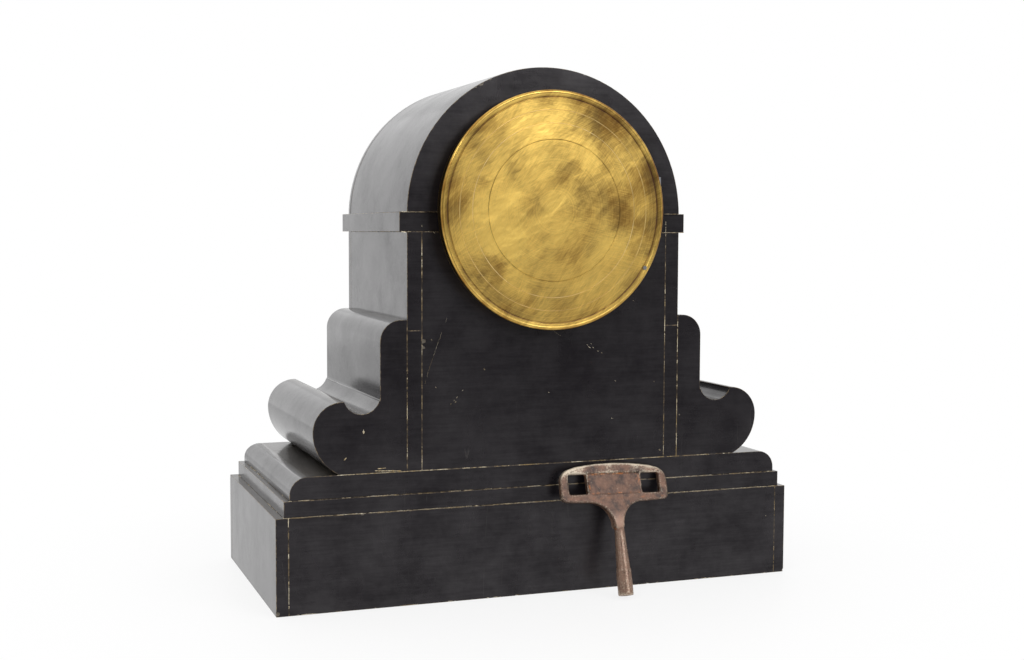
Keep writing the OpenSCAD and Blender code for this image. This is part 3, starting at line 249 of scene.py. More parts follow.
def honed_black_slate(add, coords, look):
    """Slate, honed and blacked with oil: near black, a deep satin that mirrors the room at a low angle."""
    clouds = add(NOISE, coords, per(38), 5.0, 0.6)
    streaks = add(NOISE, add(MAPPING, coords, Scale=(0.12, 0.5, 1.0)), per(1.6), 4.0, 0.65)
    tone = add(MIX, streaks, (*look.slate_dark, 1.0), (*look.slate_light, 1.0), **COLOUR)

    # Hairline scratches: where a stretched noise crosses its middle value, in a few places only
    scored = add(MAPPING, coords, Rotation=(0.1, 0.35, 0.1), Scale=(1.0, 1.0, 0.06))
    off = away_from(add, add(NOISE, scored, per(16), 0.0), 0.5)
    breaks = add(NOISE, coords, per(26), 4.0)
    scratch = add(MATH, add(RANGE, off, 0.0, 0.003, 0.3, 0.0), add(RANGE, breaks, 0.58, 0.64), **TIMES)
    tone = add(MIX, scratch, tone, rgba("#5d5a56"), **COLOUR)

    # Pale specks, about half a millimetre across, in some cells only
    cells = add("ShaderNodeTexVoronoi", coords, Scale=per(13))
    some = add(MATH, add("ShaderNodeSeparateColor", cells.outputs[1]), 0.7, operation="GREATER_THAN")
    speck = add(MATH, add(RANGE, cells, 0.02, 0.036, 0.9, 0.0), some, **TIMES)
    tone = add(MIX, speck, tone, rgba("#8f8675"), **COLOUR)

    # Arrises are rubbed through to the grey-brown stone, most of all in small spots
    wear = add("ShaderNodeAttribute", attribute_name="wear").outputs["Fac"]
    rubbed = add(RANGE, add(NOISE, coords, per(3.2), 4.0, 0.7), 0.46, 0.64, 0.12, look.edge_wear)
    worn = add(MATH, wear, rubbed, **TIMES)
    tone = add(MIX, worn, tone, rgba("#978362"), **COLOUR)

    # Dust lies on what faces straight up
    facing = add(SPLIT, add("ShaderNodeNewGeometry").outputs["Normal"])
    level = add(RANGE, facing.outputs[2], 0.96, 1.0, 0.0, look.dust)
    tone = add(MIX, add(MATH, level, breaks, **TIMES), tone, rgba("#8c8374"), **COLOUR)

    # Handling has left the polish uneven, and the back and front are honed only
    handling = add(NOISE, add(MAPPING, coords, Scale=(1.0, 1.0, 0.55)), per(34), 4.0, 0.55)
    polish = add(RANGE, handling, 0.34, 0.66, *look.slate_polish)
    rough = add(MATH, polish, add(MATH, worn, 0.3, **TIMES))
    turned = add(MATH, facing.outputs[1], operation="ABSOLUTE")
    satin = add(MATH, rough, add(RANGE, turned, 0.7, 0.95, 0.0, 0.14))

    # Smudges of old oil and polish weaken the mirror here and there
    smudges = add(NOISE, coords, per(30), 8.0, 0.68)
    rub_lines = add(NOISE, add(MAPPING, coords, Scale=(0.08, 1.0, 1.0)), per(2.2), 5.0, 0.7)
    mirror = add(RANGE, add(MATH, rub_lines, 0.45, smudges, **TIMES_PLUS), 0.52, 0.93, 0.19, 0.56)
    swell = add(BUMP, 0.16, 0.3 * MM, Height=clouds)
    return add(SHADER, **{
        "Base Color": tone, "Roughness": satin, "Specular IOR Level": mirror,
        "Specular Tint": rgba("#fffafd"), "IOR": 1.5,
        "Normal": add(BUMP, 0.12, 0.05 * MM, Height=streaks, Normal=swell)})


def broken_slate(add, coords):
    """Fresh break in slate: paler, matt and slightly flaky."""
    flakes = add(NOISE, coords, per(0.9), 4.0, 0.7)
    return add(SHADER, **{
        "Base Color": add(MIX, flakes, rgba("#4a4742"), rgba("#9b9183"), **COLOUR), "Roughness": 0.85,
        "Normal": add(BUMP, 0.5, 0.2 * MM, Height=flakes)})


def old_joint_plaster(add, coords):
    """Old plaster squeezed out of the joints: chalky, cream to tan."""
    stain = add(RANGE, add(NOISE, coords, per(11), 4.0, 0.7), 0.38, 0.6)
    return add(SHADER, **{
        "Base Color": add(MIX, stain, rgba("#9a8357"), rgba("#e9dec4"), **COLOUR), "Roughness": 0.9})


# Dull places of tarnish and bright places of painted highlight on the cover: across, up, reach in
# millimetres, and how dull (below zero, how bright the painted highlight)
TARNISH_AND_HIGHLIGHTS = (
    (-34, 56, 34, 0.55), (-13, 19, 20, 0.42), (-43, 3, 26, 0.5), (15, 6, 14, 0.2), (-8, -27, 24, 0.3),
    (43, -35, 15, 0.4), (64, 8, 28, 0.25), (11, -46, 15, 0.25), (27, 25, 13, 0.2), (-62, 24, 22, 0.45),
    (54, 44, 18, 0.2), (-62, -14, 20, 0.25), (30, -55, 18, 0.25), (-6, -62, 26, 0.18), (-64, 2, 24, 0.15),
    (-38, -22, 20, -0.35), (38, 3, 26, -0.5), (31, -21, 20, -0.75), (12, 50, 26, -0.35),
    (-17, 38, 20, -0.4), (-2, -4, 18, -0.25),
)


def rubbed_sheet_brass(add, coords, look):
    """Sheet brass, spun, lacquer gone and rubbed by hand: warm yellow with brown and olive tarnish, painted
    highlights, and a painted shade on its side wall.
    """
    middle = add(MAPPING, coords, (0.0, 0.0, -DIAL_Z))
    flat = add(VECTOR, middle, (1.0, 0.0, 1.0), **TIMES)
    radius = add(VECTOR, flat, operation="LENGTH")

    def drawn_out(degrees, stretch):
        """Coordinates stretched along a line that rises by degrees to the right, seen from behind."""
        turned = add(MAPPING, flat, Rotation=(0.0, radians(-degrees), 0.0))
        return add(MAPPING, turned, Scale=(1 / stretch, 1.0, 1.0))

    # Broad clouds of tarnish, drawn out the way the hand rubs, with finer clouds in them
    clouds = add(NOISE, drawn_out(42, 2.2), per(16), 7.0, 0.6)
    wisps = add(NOISE, drawn_out(50, 3.2), per(6), 6.0, 0.7)
    dark = add(MATH, add(RANGE, clouds, 0.3, 0.7, 0.08, 0.52, **SMOOTH),
               add(RANGE, wisps, 0.3, 0.7, -0.1, 0.1, **SMOOTH))
    bends = add(NOISE, drawn_out(45, 1.6), per(20), 6.0, 0.62).outputs[1]
    shift = add(VECTOR, add(VECTOR, bends, (0.5, 0.5, 0.5), operation="SUBTRACT"), 0.055, operation="SCALE")
    ragged = add(VECTOR, add(VECTOR, flat, shift), (1.0, 0.0, 1.0), **TIMES)
    # A place below zero is a painted highlight: the cover made brighter where it catches the light
    for across, up, reach, dulling_and_highlight in TARNISH_AND_HIGHLIGHTS:
        gap = add(VECTOR, ragged, (across * MM, 0.0, up * MM), operation="DISTANCE")
        dark = add(MATH, dark, add(RANGE, gap, 0.0, reach * MM, dulling_and_highlight, 0.0, **SMOOTH))
    # The outer part is handled least and has darkened most, and the rolled rim is rubbed bright again
    for start, end, change in ((0.72, 0.95, 0.16), (RIM_START, RIM_END, -0.2)):
        dark = add(MATH, dark, add(RANGE, radius, start * COVER_R, end * COVER_R, 0.0, change, **SMOOTH))

    # Rubbing marks: each patch has its own direction; and the fine circles of spinning
    lines, second, third = [add(NOISE, drawn_out(degrees, 14.0), per(width), 4.0, 0.7)
                            for degrees, width in ((55, 1.0), (30, 0.8), (-12, 0.7))]
    for other, size, share in ((second, 24, 0.5), (third, 33, 0.56)):
        patch = add(NOISE, drawn_out(40, 1.3), per(size), 2.0, 0.5)
        chosen = add(RANGE, patch, share - 0.05, share + 0.05, 0.0, 1.0, **SMOOTH)
        lines = add(MIX, chosen, lines, other)
    spun = add(NOISE, radius, per(0.9), 3.0, 0.8, noise_dimensions="1D")
    lines = add(MATH, lines, add(RANGE, spun, 0.2, 0.8, -0.09, 0.09, **SMOOTH))
    dark = add(MATH, dark, add(RANGE, lines, 0.3, 0.7, 0.14, -0.14, **SMOOTH))

    # Long single scratches, bright where they are fresh
    scratches = []
    for degrees, width in ((47, 9), (70, 13), (20, 15)):
        off = away_from(add, add(NOISE, drawn_out(degrees, 26.0), per(width), 1.0, 0.4), 0.5)
        parts = add(NOISE, drawn_out(degrees, 2.0), per(12), 3.0, 0.6)
        scratches.append(add(MATH, add(RANGE, off, 0.0, 0.006, 1.0, 0.0, **SMOOTH),
                             add(RANGE, parts, 0.5, 0.6, 0.0, 0.5, **SMOOTH), **TIMES))
    first, second, third = scratches
    scratched = add(MATH, add(MATH, first, second, operation="MAXIMUM"), third, operation="MAXIMUM")
    fresh = add(RANGE, clouds, 0.4, 0.6, -0.45, 0.25, **SMOOTH)
    dark = add(MATH, dark, add(MATH, scratched, fresh, **TIMES))

    hue = add(RANGE, add(NOISE, flat, per(20), 3.0, 0.5), 0.4, 0.6, 0.0, 1.0, **SMOOTH)
    stain = add(MIX, hue, (*look.brass_dull, 1.0), rgba("#77572b"), **COLOUR)
    share = add(RANGE, dark, -0.4, 1.2, 0.0, 1.0, **SMOOTH)
    tone = add(MIX, share, (*look.brass_bright, 1.0), stain, **COLOUR)

    # Turned circles, the inner one dark and the outer two pale, each stronger in places; a brownish line in
    # the groove and a browner rim
    ring_strength = add(RANGE, clouds, 0.38, 0.62, 0.35, 1.0, **SMOOTH)
    inner, between, outer = COVER_CIRCLES
    for ring, width, strength, code in (
            (inner, 0.34, 0.6, "#4e3a1a"), (between, 0.34, 0.65, "#ffe9ae"), (outer, 0.34, 0.6, "#ffe4a0"),
            (0.942, 0.45, 0.75, "#64433c"), (1.0, 1.7, 0.62, "#8a5218")):
        off = away_from(add, radius, ring * COVER_R)
        line = add(RANGE, off, width * 0.35 * MM, width * MM, strength, 0.0, **SMOOTH)
        tone = add(MIX, add(MATH, line, ring_strength, **TIMES), tone, rgba(code), **COLOUR)

    # The side wall is painted dark: painted shade, which with its reflection in the slate gives the black
    # shadow under the rim
    depth = add(SPLIT, middle).outputs[1]
    painted_shade_wall = add(RANGE, depth, COVER_Y - 3.2 * MM, COVER_Y - 1.6 * MM, 0.75, 0.0, **SMOOTH)
    rim = add(RANGE, radius, RIM_START * COVER_R, RIM_END * COVER_R, 0.0, -0.08, **SMOOTH)
    dents = add(BUMP, 0.6, 1.0 * MM, Height=clouds)
    return add(SHADER, **{
        "Base Color": add(MIX, painted_shade_wall, tone, rgba("#3a2c12"), **COLOUR), "Metallic": 1.0,
        "Roughness": add(MATH, add(RANGE, dark, -0.2, 1.0, 0.33, 0.55, **SMOOTH), rim),
        "Normal": add(BUMP, 0.35, 0.05 * MM, Height=lines, Normal=dents)})


def grained_brass(add, coords):
    """Cast and turned brass, grained with an emery stick and lacquered: even yellow with straight lines."""
    grain = add(NOISE, add(MAPPING, coords, Scale=(1.0, 1.0, 0.05)), per(0.5), 3.0)
    fog = add(NOISE, coords, per(18), 4.0)
    return add(SHADER, **{
        "Base Color": add(MIX, fog, rgba("#a98a45"), rgba("#d4b56b"), **COLOUR), "Metallic": 1.0,
        "Roughness": add(RANGE, grain, 0.3, 0.7, 0.22, 0.38),
        "Normal": add(BUMP, 0.1, 0.02 * MM, Height=grain)})


def turned_bell_bronze(add, coords):
    """Cast bell bronze, turned: reddish yellow with fine rings."""
    rings = add("ShaderNodeTexWave", add(MAPPING, coords, (0.0, 0.0, -DIAL_Z)), per(8), 0.4, 2.0,
                wave_type="RINGS", rings_direction="Y")
    fog = add(NOISE, coords, per(15), 4.0)
    return add(SHADER, **{
        "Base Color": add(MIX, fog, rgba("#9a7a48"), rgba("#cdae78"), **COLOUR), "Metallic": 1.0,
        "Roughness": add(RANGE, rings.outputs["Fac"], 0.0, 1.0, 0.24, 0.34)})


def turned_steel(add, coords):
    """Turned and filed steel, lightly oiled: cool grey with faint marks."""
    marks = add(NOISE, coords, per(1.5), 4.0)
    return add(SHADER, **{
        "Base Color": add(MIX, marks, rgba("#84868a"), rgba("#b9babb"), **COLOUR), "Metallic": 1.0,
        "Roughness": add(RANGE, marks, 0.3, 0.7, 0.25, 0.42)})


def blued_steel(add, coords):
    """Steel heated until it turns blue, then polished: deep blue with a violet cast."""
    heat = add(NOISE, coords, per(9), 2.0)
    return add(SHADER, **{
        "Base Color": add(MIX, heat, rgba("#1c2a5c"), rgba("#3a2f66"), **COLOUR), "Metallic": 1.0,
        "Roughness": 0.2})


def fired_enamel(add, coords):
    """Fired enamel on copper: warm white, glossy, with very slight waves and yellowing."""
    age = add(NOISE, coords, per(40), 4.0)
    return add(SHADER, **{
        "Base Color": add(MIX, age, rgba("#eee6d0"), rgba("#f7f2e6"), **COLOUR), "Roughness": 0.12,
        "Normal": add(BUMP, 0.1, 0.05 * MM, Height=age)})


def dial_black(add, coords):
    """Vitreous black paint of the dial figures: dense and half glossy."""
    flecks = add(NOISE, coords, per(1.2), 3.0)
    return add(SHADER, **{
        "Base Color": add(MIX, flecks, rgba("#15130f"), rgba("#2a2620"), **COLOUR), "Roughness": 0.35})


def clear_door_glass(add, coords):
    """Cut glass of the front door: clear and smooth, with the faintest unevenness."""
    ripple = add(NOISE, coords, per(30), 1.0)
    return add(SHADER, **{
        "Base Color": rgba("#f7faf8"), "IOR": 1.5, "Transmission Weight": 1.0,
        "Roughness": add(RANGE, ripple, 0.0, 1.0, 0.0, 0.03)})


def handled_rusty_iron(add, coords, look):
    """Malleable iron, forged and handled for long: brown skin, orange rust, edges rubbed to pale speckles."""
    low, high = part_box("winding_key")
    height = add(SPLIT, coords).outputs[2]
    skin = add(NOISE, coords, per(7), 7.0, 0.72)
    tone = add(MIX, add(RANGE, skin, 0.38, 0.62), (*look.iron_dark, 1.0), (*look.iron_light, 1.0), **COLOUR)
    # The stem is painted lighter, partly as less rust and partly as a painted sheen, and is a little less
    # rough
    stem_clean_and_sheen = add(RANGE, height, high.z - 34 * MM, high.z - 28 * MM, 1.0, 0.0)
    tone = add(MIX, add(MATH, stem_clean_and_sheen, 0.6, **TIMES), tone, rgba("#9c7d6b"), **COLOUR)

    # Rust lies in patches, and in dots along the inner corners
    field = add(NOISE, coords, per(4), 6.0, 0.8)
    corners = add("ShaderNodeAttribute", attribute_name="filled").outputs["Fac"]
    dots = add(MATH, corners, add(RANGE, field, 0.5, 0.56, 0.0, 1.0), **TIMES)
    rust = add(MATH, add(RANGE, field, 0.58, 0.72, 0.0, 0.6), dots, operation="MAXIMUM")
    tone = add(MIX, rust, tone, rgba("#a8642f"), **COLOUR)

    # Speckles where the grain and the wear together are high enough, most along the top and at the foot
    wear = add("ShaderNodeAttribute", attribute_name="wear").outputs["Fac"]
    pits = add(NOISE, coords, per(1.0), 5.0, 0.85)
    reach = add(MATH, add(RANGE, height, high.z - 9 * MM, high.z - 3 * MM, 0.11, 0.27),
                add(RANGE, height, low.z + 6 * MM, low.z + 18 * MM, 0.06, 0.0))
    worn = add(MATH, wear, reach, pits, **TIMES_PLUS)
    band = add(RANGE, height, high.z - 9 * MM, high.z - 4 * MM, 0.0, 0.16)
    patch = add(RANGE, add(NOISE, coords, per(16), 2.0), 0.42, 0.62)
    rubbed = add(RANGE, add(MATH, band, patch, worn, **TIMES_PLUS), 0.6, 0.76, 0.0, 0.72)
    rough = add(RANGE, skin, 0.3, 0.7, 0.26, 0.48)
    return add(SHADER, **{
        "Base Color": add(MIX, rubbed, tone, rgba("#d9ccb6"), **COLOUR), "Metallic": 0.4,
        "Roughness": add(MATH, stem_clean_and_sheen, -0.04, rough, **TIMES_PLUS),
        "Normal": add(BUMP, 0.4, 0.12 * MM, Height=pits)})


# Sizes and colours that a user would change

Length = partial(FloatProperty, min=0.0, unit="LENGTH")
Power = partial(FloatProperty, min=0.0, unit="POWER")
Share = partial(FloatProperty, min=0.0, max=1.0, subtype="FACTOR")
Tint = partial(FloatVectorProperty, subtype="COLOR", size=3, min=0.0, max=1.0)


class CaseLook(bpy.types.PropertyGroup):
    ease: Length(name="Edge easing", description="Width of the rubbed arris of the slabs", default=0.3 * MM)
    hollow: Length(name="Hollow easing", description="Width of the scrolls' soft inner corner",
                   default=2.4 * MM)
    edge_wear: Share(name="Edge wear", description="How pale the arrises are rubbed", default=0.85)
    dust: Share(name="Dust", description="How much dust lies on the ledges", default=0.35)
    slate_dark: Tint(name="Slate, dark", description="Darkest colour of the slate",
                     default=linear("#110f12"))
    slate_light: Tint(name="Slate, light", description="Lightest colour of the slate",
                      default=linear("#1d1a1e"))
    slate_polish: FloatVectorProperty(name="Polish", description="Roughness, from best to least polished",
                                      default=(0.11, 0.19), size=2, min=0.0, max=1.0)


class PlasterLook(bpy.types.PropertyGroup):
    crumb: Length(name="Crumb size", description="Width of a crumb of plaster", default=0.42 * MM,
                  min=0.05 * MM)
    spacing: Length(name="Spacing", description="Distance between crumbs along a joint", default=0.8 * MM,
                    min=0.2 * MM)
    seed: IntProperty(name="Seed", description="Pattern of the crumbs", default=7, min=0)


class BrassLook(bpy.types.PropertyGroup):
    bead: Length(name="Rim bead", description="Radius of the rolled rim of the cover", default=1.6 * MM,
                 min=0.5 * MM)
    sheet: Length(name="Sheet", description="Thickness of the sheet brass of the cover", default=1.2 * MM,
                  min=0.4 * MM)
    brass_bright: Tint(name="Bright brass", description="Colour where the cover is rubbed",
                       default=linear("#ffd772"))
    brass_dull: Tint(name="Tarnished brass", description="Colour where the cover is tarnished",
                     default=linear("#6a5330"))


class KeyLook(bpy.types.PropertyGroup):
    ease: Length(name="Edge rounding", description="Width of the rounded edges of the key",
                 default=0.8 * MM, min=0.2 * MM)
    grain: Length(name="Mesh size", description="Width of one face of the key's mesh", default=0.4 * MM,
                  min=0.2 * MM)
    iron_dark: Tint(name="Iron, dark", description="Darkest colour of the key", default=linear("#33221b"))
    iron_light: Tint(name="Iron, light", description="Lightest colour of the key", default=linear("#795a4a"))


class DialLook(bpy.types.PropertyGroup):
    figure: Length(name="Figure height", description="Height of the hour figures", default=11 * MM,
                   min=4 * MM)
    track: Length(name="Minute mark", description="Length of a minute mark", default=2.6 * MM, min=1 * MM)


class StudioLook(bpy.types.PropertyGroup):
    key_power: Power(name="Main lamp", description="Power of the lamp at the right of the camera",
                     default=13.2)
    rim_power: Power(name="Rim lamp", description="Power of the lamp at the upper left of the camera",
                     default=3.5)
    top_power: Power(name="Top lamp", description="Power of the lamp above the clock", default=5.0)
    back_power: Power(name="Back lamp", description="Power of the lamp behind the clock, which its "
                      "polished sides mirror", default=2.8)
    front_level: FloatProperty(name="Room level", description="Brightness of the room behind the camera",
                               default=0.25, min=0.0, max=1.0)


# The case

# Chips that show, by slab: place and size of each in millimetres
CHIPS = {
    "arch_block": ((44.0, 80.1, 314.2, 1.5), (47.5, 80.1, 312.4, 1.1), (38.0, 80.1, 317.4, 1.0),
                   (-24.0, 80.1, 322.6, 0.9), (-60.0, -64.2, 303.0, 1.2)),
    "back_panel": ((80.8, 80.1, 160.0, 1.9), (80.4, 80.1, 156.0, 1.3)),
    "base_left_slab": ((-170.0, 81.5, 1.0, 1.3),),
    "base_right_slab": ((170.0, 81.5, 2.0, 1.7), (170.0, 40.0, 0.0, 1.5), (170.0, 20.0, 0.0, 1.2),
                        (170.0, -14.0, 0.0, 1.6), (170.0, 60.0, 0.0, 1.0)),
    "base_back_slab": ((118.0, 81.5, 58.0, 1.1), (20.0, 81.5, 0.0, 1.2), (60.0, 81.5, 0.0, 0.9),
                       (-70.0, 81.5, 0.0, 1.1)),
    "base_front_slab": ((-120.0, -81.5, 58.0, 1.2), (85.0, -81.5, 0.0, 1.4), (170.0, -81.5, 57.0, 1.5)),
    "scroll_right": ((105.0, 80.1, 81.6, 1.6), (98.0, 80.1, 81.6, 1.4)),
    "plinth_slab": ((40.0, 80.1, 67.8, 0.9), (-60.0, 80.1, 67.8, 0.9)),
}


def chip_cutter(chips):
    """One mesh of rough lumps, longer than high, that cut the chips of a slab."""
    fineness, depth, shrink, longer = 900, 0.45, 0.8, 1.5
    work = bmesh.new()
    for number, (*place, size) in enumerate(chips):
        for vert in bmesh.ops.create_icosphere(work, subdivisions=2, radius=size * MM)["verts"]:
            roughness = noise.noise(vert.co * fineness + Vector((number * 3.7, 0, 0)))
            vert.co = vert.co * (1 + depth * roughness) * shrink
            vert.co.x *= longer
            vert.co += Vector(place) * MM
    return new_mesh("chip_cutter", work)


def chipped(mesh, chips, slate, fresh):
    """The mesh of a slab with its chips cut out, and the broken stone showing in them."""
    cutter_mesh = chip_cutter(chips)
    mesh.materials.append(slate)
    cutter_mesh.materials.append(fresh)
    blank = new_object(mesh.name + "_blank", mesh)
    cutter = new_object(mesh.name + "_cutter", cutter_mesh)
    cut = blank.modifiers.new("chips", "BOOLEAN")
    cut.object = cutter
    cut.solver = "EXACT"
    cut.material_mode = "TRANSFER"
    whole = flat_copy(blank, mesh.name)
    bpy.data.objects.remove(cutter)
    return whole


class CLOCK_OT_slate_case(bpy.types.Operator):
    """Ease the edges of the slate slabs, chip them and give them their finish"""
    bl_idname = "clock.slate_case"
    bl_label = "Slate case"

    def execute(self, context):
        look = context.scene.clock_case
        slate = finish_of(honed_black_slate, look)
        fresh = finish_of(broken_slate)
        for node in SLATE_NODES:
            mesh = eased_copy(node, look.ease, look.hollow if node.startswith("scroll") else 0.0)
            if node in CHIPS:
                mesh = chipped(mesh, CHIPS[node], slate, fresh)
            shade(mesh)
            piece = add_piece("dressed_" + node, mesh, slate, BODY)
            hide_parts(node)
        return {"FINISHED"}


# Geometry nodes, and the plaster in the joints

def new_tree(name, inputs, made):
    """Geometry node tree with named inputs: itself, its adder of nodes and the values given to it."""
    tree = bpy.data.node_groups.new(name, "GeometryNodeTree")
    for label, kind in inputs.items():
        tree.interface.new_socket(label, in_out="INPUT", socket_type="NodeSocket" + kind)
    tree.interface.new_socket(made, in_out="OUTPUT", socket_type="NodeSocketGeometry")
    add = partial(add_node, tree)
    return tree, add, add("NodeGroupInput").outputs


def end_tree(add, instances, material):
    """End a tree: the instances made real, and given their material."""
    real = add("GeometryNodeRealizeInstances", instances)
    add("NodeGroupOutput", add("GeometryNodeSetMaterial", Geometry=real, Material=material))


def grow(name, lines, tree, values):
    """Run a node tree on a mesh of lines and return the plain mesh."""
    work = bmesh.new()
    for line in lines:
        verts = [work.verts.new(point) for point in line]
        for first, second in zip(verts, verts[1:]):
            work.edges.new((first, second))
    thing = new_object(name + "_lines", new_mesh(name + "_lines", work))
    modifier = thing.modifiers.new(name, "NODES")
    modifier.node_group = tree
    for item in tree.interface.items_tree:
        if item.in_out == "INPUT" and item.name in values:
            modifier[item.identifier] = values[item.name]
    mesh = flat_copy(thing, name)
    # The lines leave an empty slot, so that the slots start again
    mesh.materials.clear()
    return mesh


def crumb_tree():
    """Geometry nodes that strew crumbs along lines, in patches."""
    tree, add, given = new_tree("plaster_crumbs", {
        "Lines": "Geometry", "Spacing": "Float", "Crumb": "Float", "Share kept": "Float", "Seed": "Int",
        "Material": "Material"}, "Crumbs")
    path = add("GeometryNodeMeshToCurve", given["Lines"])
    points = add("GeometryNodeResampleCurve", Curve=path, Length=given["Spacing"], mode="LENGTH")
    patches = add(NOISE, add("GeometryNodeInputPosition"), per(16), 3.0, 0.75)
    least = add(RANGE, given["Share kept"], 0.0, 1.0, 0.68, 0.32)
    keep = add("FunctionNodeCompare", patches, least, data_type="FLOAT", operation="GREATER_THAN")
    along = add("FunctionNodeAlignRotationToVector", Vector=add("GeometryNodeInputTangent"), axis="X")
    spread = add("FunctionNodeRandomValue", Min=(1.2, 0.45, 0.5), Max=(4.2, 1.3, 1.3), Seed=given["Seed"],
                 data_type="FLOAT_VECTOR")
    crumbs = add("GeometryNodeInstanceOnPoints", Points=points, Selection=keep, Rotation=along,
                 Instance=add("GeometryNodeMeshIcoSphere", 0.5, 1),
                 Scale=add(VECTOR, spread, given["Crumb"], operation="SCALE"))
    end_tree(add, crumbs, given["Material"])
    return tree


# Marks on the back, as ends (across, up, across, up) in millimetres
MARKS = {
    "splashed": (
        (-26.8, 155.2, -27.2, 154.9), (-28, 153.9, -28.9, 153.2), (-31, 153.4, -31.3, 153.2),
        (-34.2, 151, -34.6, 150.8), (-36.9, 149.8, -37.2, 149.7), (-29.6, 155.8, -29.8, 155.6),
        (-46.3, 132, -46.6, 131.7), (-78, 86.3, -78.3, 86), (-1, 126.2, -1.3, 126),
        (-44.3, 108.1, -44.5, 107.9), (-73.6, 130.4, -73.8, 130.2), (41.2, 141.8, 41, 141.6),
        (72.2, 131.8, 72, 131.6), (74.8, 160.6, 74.6, 160.2), (-58.5, 182.4, -58.7, 182.2),
        (73.3, 224.9, 73, 224.4), (62.8, 121, 62.5, 121.4), (60.6, 123.2, 60.4, 123.4),
        (58.8, 125, 58.5, 125.3), (55.2, 129.2, 55, 129.4), (59.6, 122.4, 59.4, 122.6)),
    "daubed": (
        (116.7, 106.8, 117.1, 106.8), (116.9, 107.1, 116.9, 106.5), (128.1, 91.1, 128.3, 90.9),
        (109.2, 83.0, 94.8, 82.2), (107.4, 84.2, 103.8, 84.4), (93, 225.3, 91.6, 225.1),
        (-78.2, 86.2, -78.3, 86.1)),
    "scored": ((65, 173.5, 72, 155), (72, 155, 77, 141), (77, 141, 80.1, 130.4), (-2, 166, -9, 161)),
}
# How much plaster shows: the share of crumbs kept, and their size as a share of the usual one
PLASTER_SHOWN = {"full": (0.78, 1.05), "dotted": (0.5, 1.05), "faint": (0.36, 0.7),
                 "splashed": (1.0, 0.6), "daubed": (1.0, 1.5), "scored": (0.62, 0.17)}


def joint_lines():
    """Joints of the case, by how much plaster shows, and the marks on its back."""
    base_low, base_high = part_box("base_back_slab")
    fillet_low, fillet_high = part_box("fillet_slab")
    plinth_low, plinth_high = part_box("plinth_slab")
    band_low, band_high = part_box("band_right")
    scroll_low, scroll_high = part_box("scroll_right")
    base_top, ledge = base_high.z, plinth_high.z
    foot = scroll_high.x - 15 * MM
    half = scroll_low.x
    bare = 70 * MM
    side = edge("back_panel", 1, 0)
    arch_low = edge("arch_block", 0, 2)
    band_in = (COVER_R ** 2 - (band_low.z - DIAL_Z) ** 2) ** 0.5

    def along(y, z, start, end):
        return [(start, y, z), (end, y, z)]

    def upright(x, y, start, end):
        return [(x, y, start), (x, y, end)]

    def both_sides(x, z, low, high):
        return [[(end * x, low.y, z), (end * x, high.y, z)] for end in (-1, 1)]

    def on_band(z, start, end):
        return along(band_high.y, z, start, end)

    lines = {
        "full": [
            along(fillet_high.y, base_top, fillet_low.x, fillet_high.x),
            along(BACK_Y, ledge, bare, foot)],
        "dotted": [
            along(plinth_high.y, plinth_low.z, plinth_low.x, plinth_high.x),
            along(BACK_Y, ledge, -foot, bare),
            upright(base_high.x, base_high.y, 1.0 * MM, base_top - 0.5 * MM),
            upright(half, BACK_Y, ledge, ledge + 60 * MM),
            upright(-half, BACK_Y, ledge, scroll_high.z - 4 * MM),
            *both_sides(fillet_high.x, base_top, fillet_low, fillet_high),
            upright(side, BACK_Y, 192 * MM, 222 * MM), upright(-side, BACK_Y, 155 * MM, 206 * MM),
            on_band(band_high.z, 75 * MM, 91 * MM), on_band(band_low.z, 86 * MM, 93 * MM),
            on_band(band_high.z, -88 * MM, -80 * MM), on_band(band_low.z, -88 * MM, -80 * MM)],
        "faint": [
            upright(base_low.x, base_high.y, 1.0 * MM, base_top - 0.5 * MM),
            upright(side, BACK_Y, ledge, arch_low), upright(-side, BACK_Y, ledge, arch_low),
            on_band(band_low.z, band_in, band_high.x), on_band(band_low.z, -band_high.x, -band_in),
            on_band(band_high.z, band_in, band_high.x), on_band(band_high.z, -band_high.x, -band_in),
            along(fillet_low.y, base_top, fillet_low.x, fillet_high.x),
            along(plinth_low.y, plinth_low.z, plinth_low.x, plinth_high.x),
            along(base_high.y, 0.4 * MM, base_low.x, base_high.x),
            *both_sides(plinth_high.x, plinth_low.z, plinth_low, plinth_high)],
    }
    for name, marks in MARKS.items():
        lines[name] = [[(x0 * MM, BACK_Y, z0 * MM), (x1 * MM, BACK_Y, z1 * MM)] for x0, z0, x1, z1 in marks]
    return lines


class CLOCK_OT_joint_plaster(bpy.types.Operator):
    """Strew old plaster along the joints of the case"""
    bl_idname = "clock.joint_plaster"
    bl_label = "Joint plaster"

    def execute(self, context):
        look = context.scene.clock_plaster
        plaster = finish_of(old_joint_plaster)
        tree = crumb_tree()
        for name, lines in joint_lines().items():
            kept, size = PLASTER_SHOWN[name]
            mesh = grow("plaster_" + name, lines, tree, {
                "Spacing": look.spacing * min(1.0, size), "Crumb": look.crumb * size, "Share kept": kept,
                "Seed": look.seed, "Material": plaster})
            add_piece("plaster_" + name, mesh, plaster, BODY)
        return {"FINISHED"}


# The rear cover

def ring_points(radius, y, parts):
    """Points of a circle round the axis through the middle of the dial, from its top."""
    turns = [k * 2 * pi / parts for k in range(parts)]
    return [(radius * sin(turn), y, DIAL_Z + radius * cos(turn)) for turn in turns]


